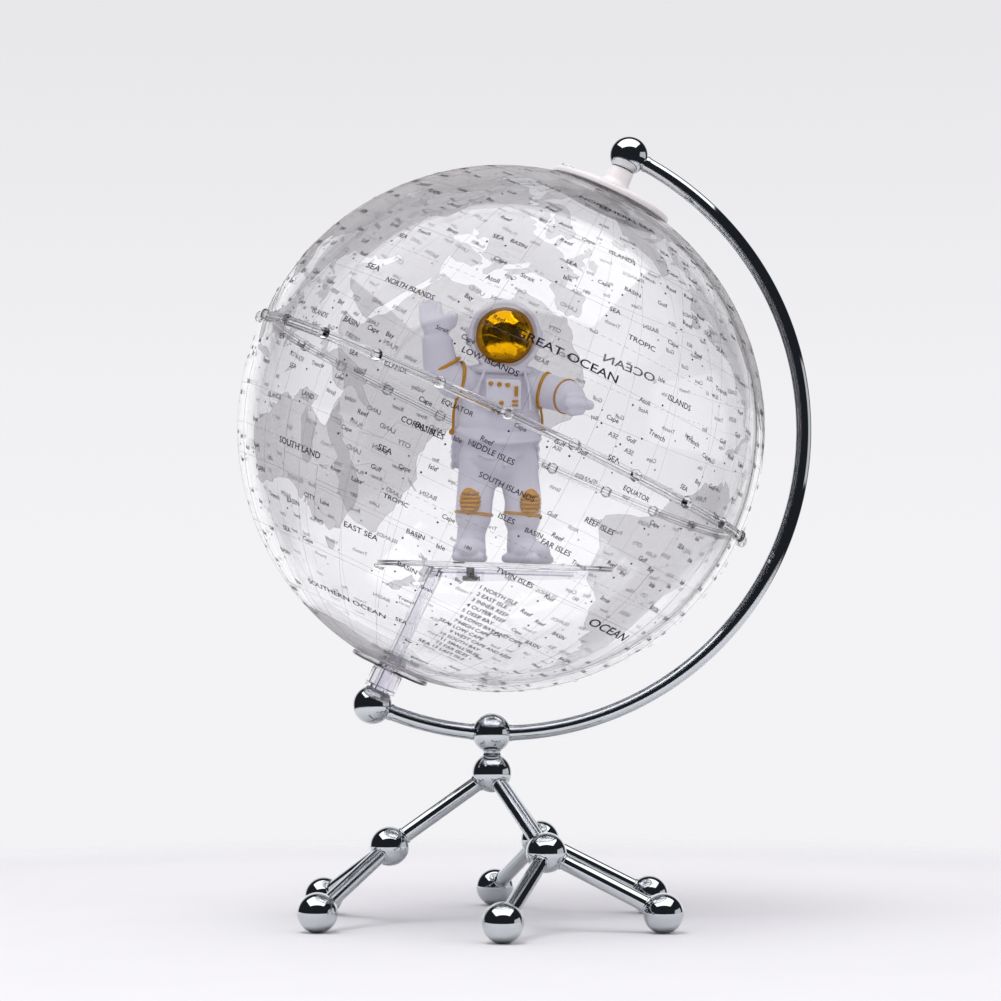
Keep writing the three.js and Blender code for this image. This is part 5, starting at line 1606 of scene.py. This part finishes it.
    def arms(self) -> None:
        """The raised right arm and the left arm that reaches out, with mitten hands."""
        right = [
            limb((-10.5, -0.5, 67.5), (-17.5, -2.5, 69.2), 7.2, 6.8),
            limb((-17.5, -2.5, 69.2), (-21.4, -3.2, 73.2), 6.8, 6.7),
            limb((-21.8, -3.2, 73.2), (-23.6, -4, 82), 6.8, 5.9),
            ellipsoid((-23.6, -4, 84.2), (6.2, 5.3, 1.6)),
            ellipsoid((-24.4, -4.3, 87.6), (4.9, 4.0, 3.6)),
            ellipsoid((-25.2, -4.3, 91.0), (5.4, 3.7, 4.6)),
            limb((-29.0, -4.6, 91.5), (-29.6, -4.6, 96.6), 1.9, 1.5),
            limb((-26.6, -5.2, 92.0), (-26.9, -5.4, 98.0), 1.9, 1.5),
            limb((-23.8, -5.4, 92.0), (-23.6, -5.6, 97.4), 1.9, 1.5),
            limb((-21.4, -5.0, 88.6), (-18.2, -6.0, 93.0), 2.8, 2.4),
            ellipsoid((-19.0, -5.4, 91.4), (2.8, 2.9, 3.3)),
        ]
        self.skin("figure_right_arm_skin", right, ["figure_right_arm"], 2)
        left = [
            limb((11.5, -0.5, 67.5), (17.5, -2.5, 66.4), 7.2, 6.7),
            limb((17.5, -2.5, 66.4), (22, -5.4, 65), 6.7, 6.5),
            limb((22, -5.4, 65), (26.4, -10.2, 63.6), 6.5, 6.3),
            limb((26.6, -10.6, 63.4), (27.8, -12.6, 62.8), 6.0, 5.2),
            ellipsoid((28.6, -15.0, 61.0), (5.2, 4.8, 4.7)),
            limb((26.6, -18.0, 63.2), (30.8, -18.2, 63.4), 2.0, 1.8),
            limb((26.4, -18.8, 60.4), (31.4, -18.8, 60.6), 2.0, 1.8),
            limb((27.4, -18.2, 57.6), (31.0, -18.0, 57.9), 1.8, 1.6),
            limb((30.2, -15.6, 61.6), (34.2, -16.8, 60.2), 2.3, 1.9),
        ]
        self.skin("figure_left_arm_skin", left, ["figure_left_arm"], 2)

    def feet(self) -> None:
        """Two boots on the platform, the left one turned outwards."""
        for side, x, heading in (("right", -8.6, -6.0), ("left", 11.2, 44.0)):
            turn = Matrix.Translation((x, -0.5, 0.35)) @ Matrix.Rotation(math.radians(heading), 4, "Z")
            parts = [
                ellipsoid((0, -4.4, 4.2), (6.4, 8.4, 4.9)),
                ellipsoid((0, 0.6, 7), (5.6, 5.6, 6.2)),
                box_shape((-6.2, -11.6, 0), (6.2, 6.2, 3.4), 1.6),
                limb((0, 0.6, 6), (0, 0.8, 11.4), 5.7, 5.4),
            ]
            turned = [part.moved(turn) for part in parts]
            self.skin(f"figure_{side}_boot_skin", turned, [f"figure_{side}_boot"], 3)

    def trim(self) -> None:
        """Knee pads with straps, sleeve bands, hoses and buttons, all painted ochre gold."""
        for k, (x, lean) in enumerate(((-9.4, -8.0), (13.4, 14.0)), 1):
            rows = []
            for i in range(5):
                z = -3.1 + 1.55 * i
                width = 4.4 * math.sqrt(1 - (z / 5.3) ** 2)
                rows.append(ellipsoid((0, 0, z), (width, 2.5, 0.9), 24))
            rows.append(ellipsoid((0, 0.4, 0), (4.0, 2.2, 5.5), 28))
            turn = Matrix.Translation((x, -6.6, 23.2)) @ Matrix.Rotation(math.radians(lean), 4, "Z")
            centre = (-7.7, -0.4, 18.7) if k == 1 else (10.85, -0.4, 18.9)
            cos, sin = np.cos(around(48)), np.sin(around(48))
            loop = np.stack([6.85 * cos, 6.85 * sin, -0.5 * cos], 1) + centre
            strap = sweep(loop, 0.65, 10, True)
            parts = [part.moved(turn) for part in rows] + [strap]
            nodes = [f"figure_knee_pad_{k}"]
            self.hard(f"figure_knee_pad_ribs_{k}", parts, self.paints.ochre, nodes)
        bands = [
            self.band((-21.0, -3.1, 74.4), (-0.46, -0.15, 0.87), 6.75),
            self.band((-15.0, -1.7, 69.2), (-0.96, -0.27, 0.12), 7.1),
            self.band((17.6, -2.6, 66.3), (0.92, -0.32, -0.22), 6.85),
            self.band((25.8, -9.6, 63.8), (0.66, -0.72, -0.2), 6.5, 0.32),
            cord([(-15.6, -4.2, 62), (-16.6, -3.4, 57), (-16.6, -3.4, 52), (-16.9, -3.2, 49.4)], 0.55, 10),
            ellipsoid((-17.1, -3.2, 49.4), (1.1, 1.1, 1.3), 16),
            cord([(16.2, -4.2, 60), (17.1, -3.4, 55), (17.2, -3.4, 50.6)], 0.5, 10),
            ellipsoid((17.3, -3.4, 50.2), (1.0, 1.0, 1.1), 16),
        ]
        for x, z in ((-3.0, 67.4), (0.2, 67.2), (3.4, 67.0), (-3.6, 60.4), (1.2, 60.1)):
            button = lathe([(0, 0), (0.9, 0), (0.9, 0.5), (0.6, 0.8), (0, 0.9)], 20)
            bands.append(button.moved(axis_frame((x, -15.1, z), (0, -1, 0))))
        for low, high in (((6.0, 62.8), (7.3, 66.6)), ((5.2, 60.6), (7.6, 61.4)), ((5.2, 59.0), (7.6, 59.8))):
            bands.append(box_shape((low[0], -16.0, low[1]), (high[0], -15.0, high[1]), 0.25))
        self.hard("figure_gold_trim", bands, self.paints.ochre)

    @staticmethod
    def band(centre: Point, way: Point, radius: float, thick: float = 0.55) -> Shape:
        """A raised band round a sleeve."""
        return lathe(hoop(radius, 0.0, thick, thick * 1.2, 10), 56).moved(axis_frame(centre, way))


# ---------------------------------------------------------------- studio


class Studio:
    """Pale table, soft lamps, the studio that polished parts reflect, and the camera."""

    BACKDROP = "#f3f2f4"
    UPPER_AIR = "#e6e5e8"
    DARK_ROOM = (0.018, 0.02, 0.024, 1.0)
    BRIGHT_WALL = (1.05, 1.05, 1.07, 1.0)
    CEILING_PANEL = (2.0, 2.0, 2.0, 1.0)

    @staticmethod
    def ramp(tree: bpy.types.NodeTree, value: Value, low: float, high: float) -> bpy.types.NodeSocket:
        """A soft step from 0 at one value to 1 at another."""
        inputs = {"Value": value, "From Min": low, "From Max": high}
        return add_node(tree, "ShaderNodeMapRange", inputs, interpolation_type="SMOOTHSTEP").outputs[0]

    def table(self) -> None:
        """A wide pale table top that fades into the backdrop."""
        material, tree, out = new_material("table_top")
        spot = add_node(tree, "ShaderNodeTexCoord").outputs["Object"]
        distance = add_node(tree, "ShaderNodeVectorMath", {0: spot}, operation="LENGTH").outputs["Value"]
        tone = mixed_colour(tree, grain(tree, 60.0), linear("#ebeaec"), linear("#e6e5e8"))
        paint = add_node(tree, "ShaderNodeBsdfDiffuse", {"Color": tone})
        open_air = add_node(tree, "ShaderNodeBsdfTransparent")
        faded = blended(tree, self.ramp(tree, distance, 0.3, 0.5), paint, open_air)
        tree.links.new(faded.outputs[0], out.inputs[0])
        mesh = mesh_of("table_top", lathe([(0, -4 * MM), (0.7, -4 * MM), (0.7, 0), (0, 0)], 96))
        mesh.materials.append(material)
        made = bpy.data.objects.new("table_top", mesh)
        bpy.context.scene.collection.objects.link(made)

    def world(self) -> None:
        """Pale air, and for mirror rays a studio with a white ceiling panel over a dark room."""
        world = bpy.data.worlds.new("studio")
        bpy.context.scene.world = world
        world.use_nodes = True
        tree = world.node_tree
        tree.nodes.clear()
        out = tree.nodes.new("ShaderNodeOutputWorld")
        generated = add_node(tree, "ShaderNodeTexCoord").outputs["Generated"]
        way = add_node(tree, "ShaderNodeSeparateXYZ", {0: generated}).outputs

        def inside(value: Value, low: float, high: float, soft: float = 0.03) -> bpy.types.NodeSocket:
            """1 between two values and 0 outside them, with soft edges."""
            past = arithmetic(tree, "SUBTRACT", 1.0, self.ramp(tree, value, high, high + soft))
            return arithmetic(tree, "MULTIPLY", self.ramp(tree, value, low - soft, low), past)

        height = arithmetic(tree, "MAXIMUM", way["Z"], 0.02)
        across, along = (arithmetic(tree, "DIVIDE", way[axis], height) for axis in ("X", "Y"))
        panel = arithmetic(tree, "MULTIPLY", inside(across, -0.95, 0.9), inside(along, -0.85, 0.35))
        panel = arithmetic(tree, "MULTIPLY", panel, self.ramp(tree, way["Z"], 0.1, 0.2))
        right = self.ramp(tree, way["X"], 0.88, 0.93)
        window = arithmetic(tree, "MULTIPLY", right, inside(way["Z"], -0.1, 0.25))
        window = arithmetic(tree, "MULTIPLY", window, 0.7)
        light = arithmetic(tree, "MAXIMUM", window, self.ramp(tree, way["Y"], 0.62, 0.85))
        room = mixed_colour(tree, light, self.DARK_ROOM, self.BRIGHT_WALL)
        room = mixed_colour(tree, panel, room, self.CEILING_PANEL)
        rise = self.ramp(tree, way["Z"], 0.0, 0.24)
        air = mixed_colour(tree, rise, linear(self.BACKDROP), linear(self.UPPER_AIR))
        # Only mirror reflections raise the glossy depth, so what is seen through clear parts stays pale.
        ray = add_node(tree, "ShaderNodeLightPath").outputs
        glossy = arithmetic(tree, "GREATER_THAN", ray["Glossy Depth"], 0.5)
        through = arithmetic(tree, "GREATER_THAN", ray["Transmission Depth"], 0.5)
        strength = add_node(tree, "ShaderNodeMapRange", {0: through, 3: 1.0, 4: 1.1}).outputs[0]
        plain = add_node(tree, "ShaderNodeBackground", {"Color": air, "Strength": strength})
        mirror = add_node(tree, "ShaderNodeBackground", {"Color": room, "Strength": 1.0})
        tree.links.new(blended(tree, glossy, plain, mirror).outputs[0], out.inputs[0])

    def lamp(self, name: str, spot: Point, target: Point, size: tuple[float, float], power: float) -> None:
        """A soft rectangular lamp aimed at a point."""
        data = bpy.data.lights.new(name, "AREA")
        data.shape = "RECTANGLE"
        data.size, data.size_y = size
        data.energy = power
        made = bpy.data.objects.new(name, data)
        made.matrix_world = axis_frame(spot, Vector(spot) - Vector(target))
        made.visible_glossy = made.visible_transmission = False
        bpy.context.scene.collection.objects.link(made)

    def camera(self, hub: Vector) -> None:
        """The camera, low and in front, looking a little up and to the right."""
        data = bpy.data.cameras.new("camera")
        data.sensor_width = 36.0
        data.lens = 114.5
        data.clip_start, data.clip_end = 0.01, 50.0
        made = bpy.data.objects.new("camera", data)
        made.location = (hub.x - 0.02253, -1.21084, 0.11964)
        made.rotation_euler = (math.radians(90 + 1.92), 0.0, math.radians(-1.22))
        bpy.context.scene.collection.objects.link(made)
        bpy.context.scene.camera = made

    def build(self, layout: Layout) -> None:
        """Adds the whole studio."""
        self.table()
        self.world()
        middle = layout.globe
        self.lamp("overhead", (-0.2, -0.3, 1.25), middle, (0.6, 0.6), 6.6)
        self.lamp("right_window", (1.1, -0.8, 0.55), middle, (0.5, 0.8), 1.6)
        self.camera(layout.hub)


def main() -> None:
    """Builds the object's looks and the studio."""
    logging.basicConfig(level=logging.INFO, format="%(name)s: %(message)s")
    paints = Paints()
    repeater = Repeater()
    stand_sizes = StandSizes()
    layout = Layout.read(stand_sizes.ball * MM)
    globe_sizes = GlobeSizes()
    Stand(layout, stand_sizes, paints).build()
    Globe(layout, globe_sizes, paints, repeater).build()
    platform = Platform(layout, PlatformSizes(), paints)
    platform.build()
    Figure(platform.level, FigureSizes(), paints).build()
    Printing(Sphere(layout, globe_sizes.radius * MM), paints, repeater).build()
    Studio().build(layout)
    bpy.context.scene.view_settings.view_transform = "Standard"
    cycles = bpy.context.scene.cycles
    cycles.transparent_max_bounces = 32
    cycles.max_bounces = 24
    cycles.transmission_bounces = 20


if __name__ == "__main__":
    main()
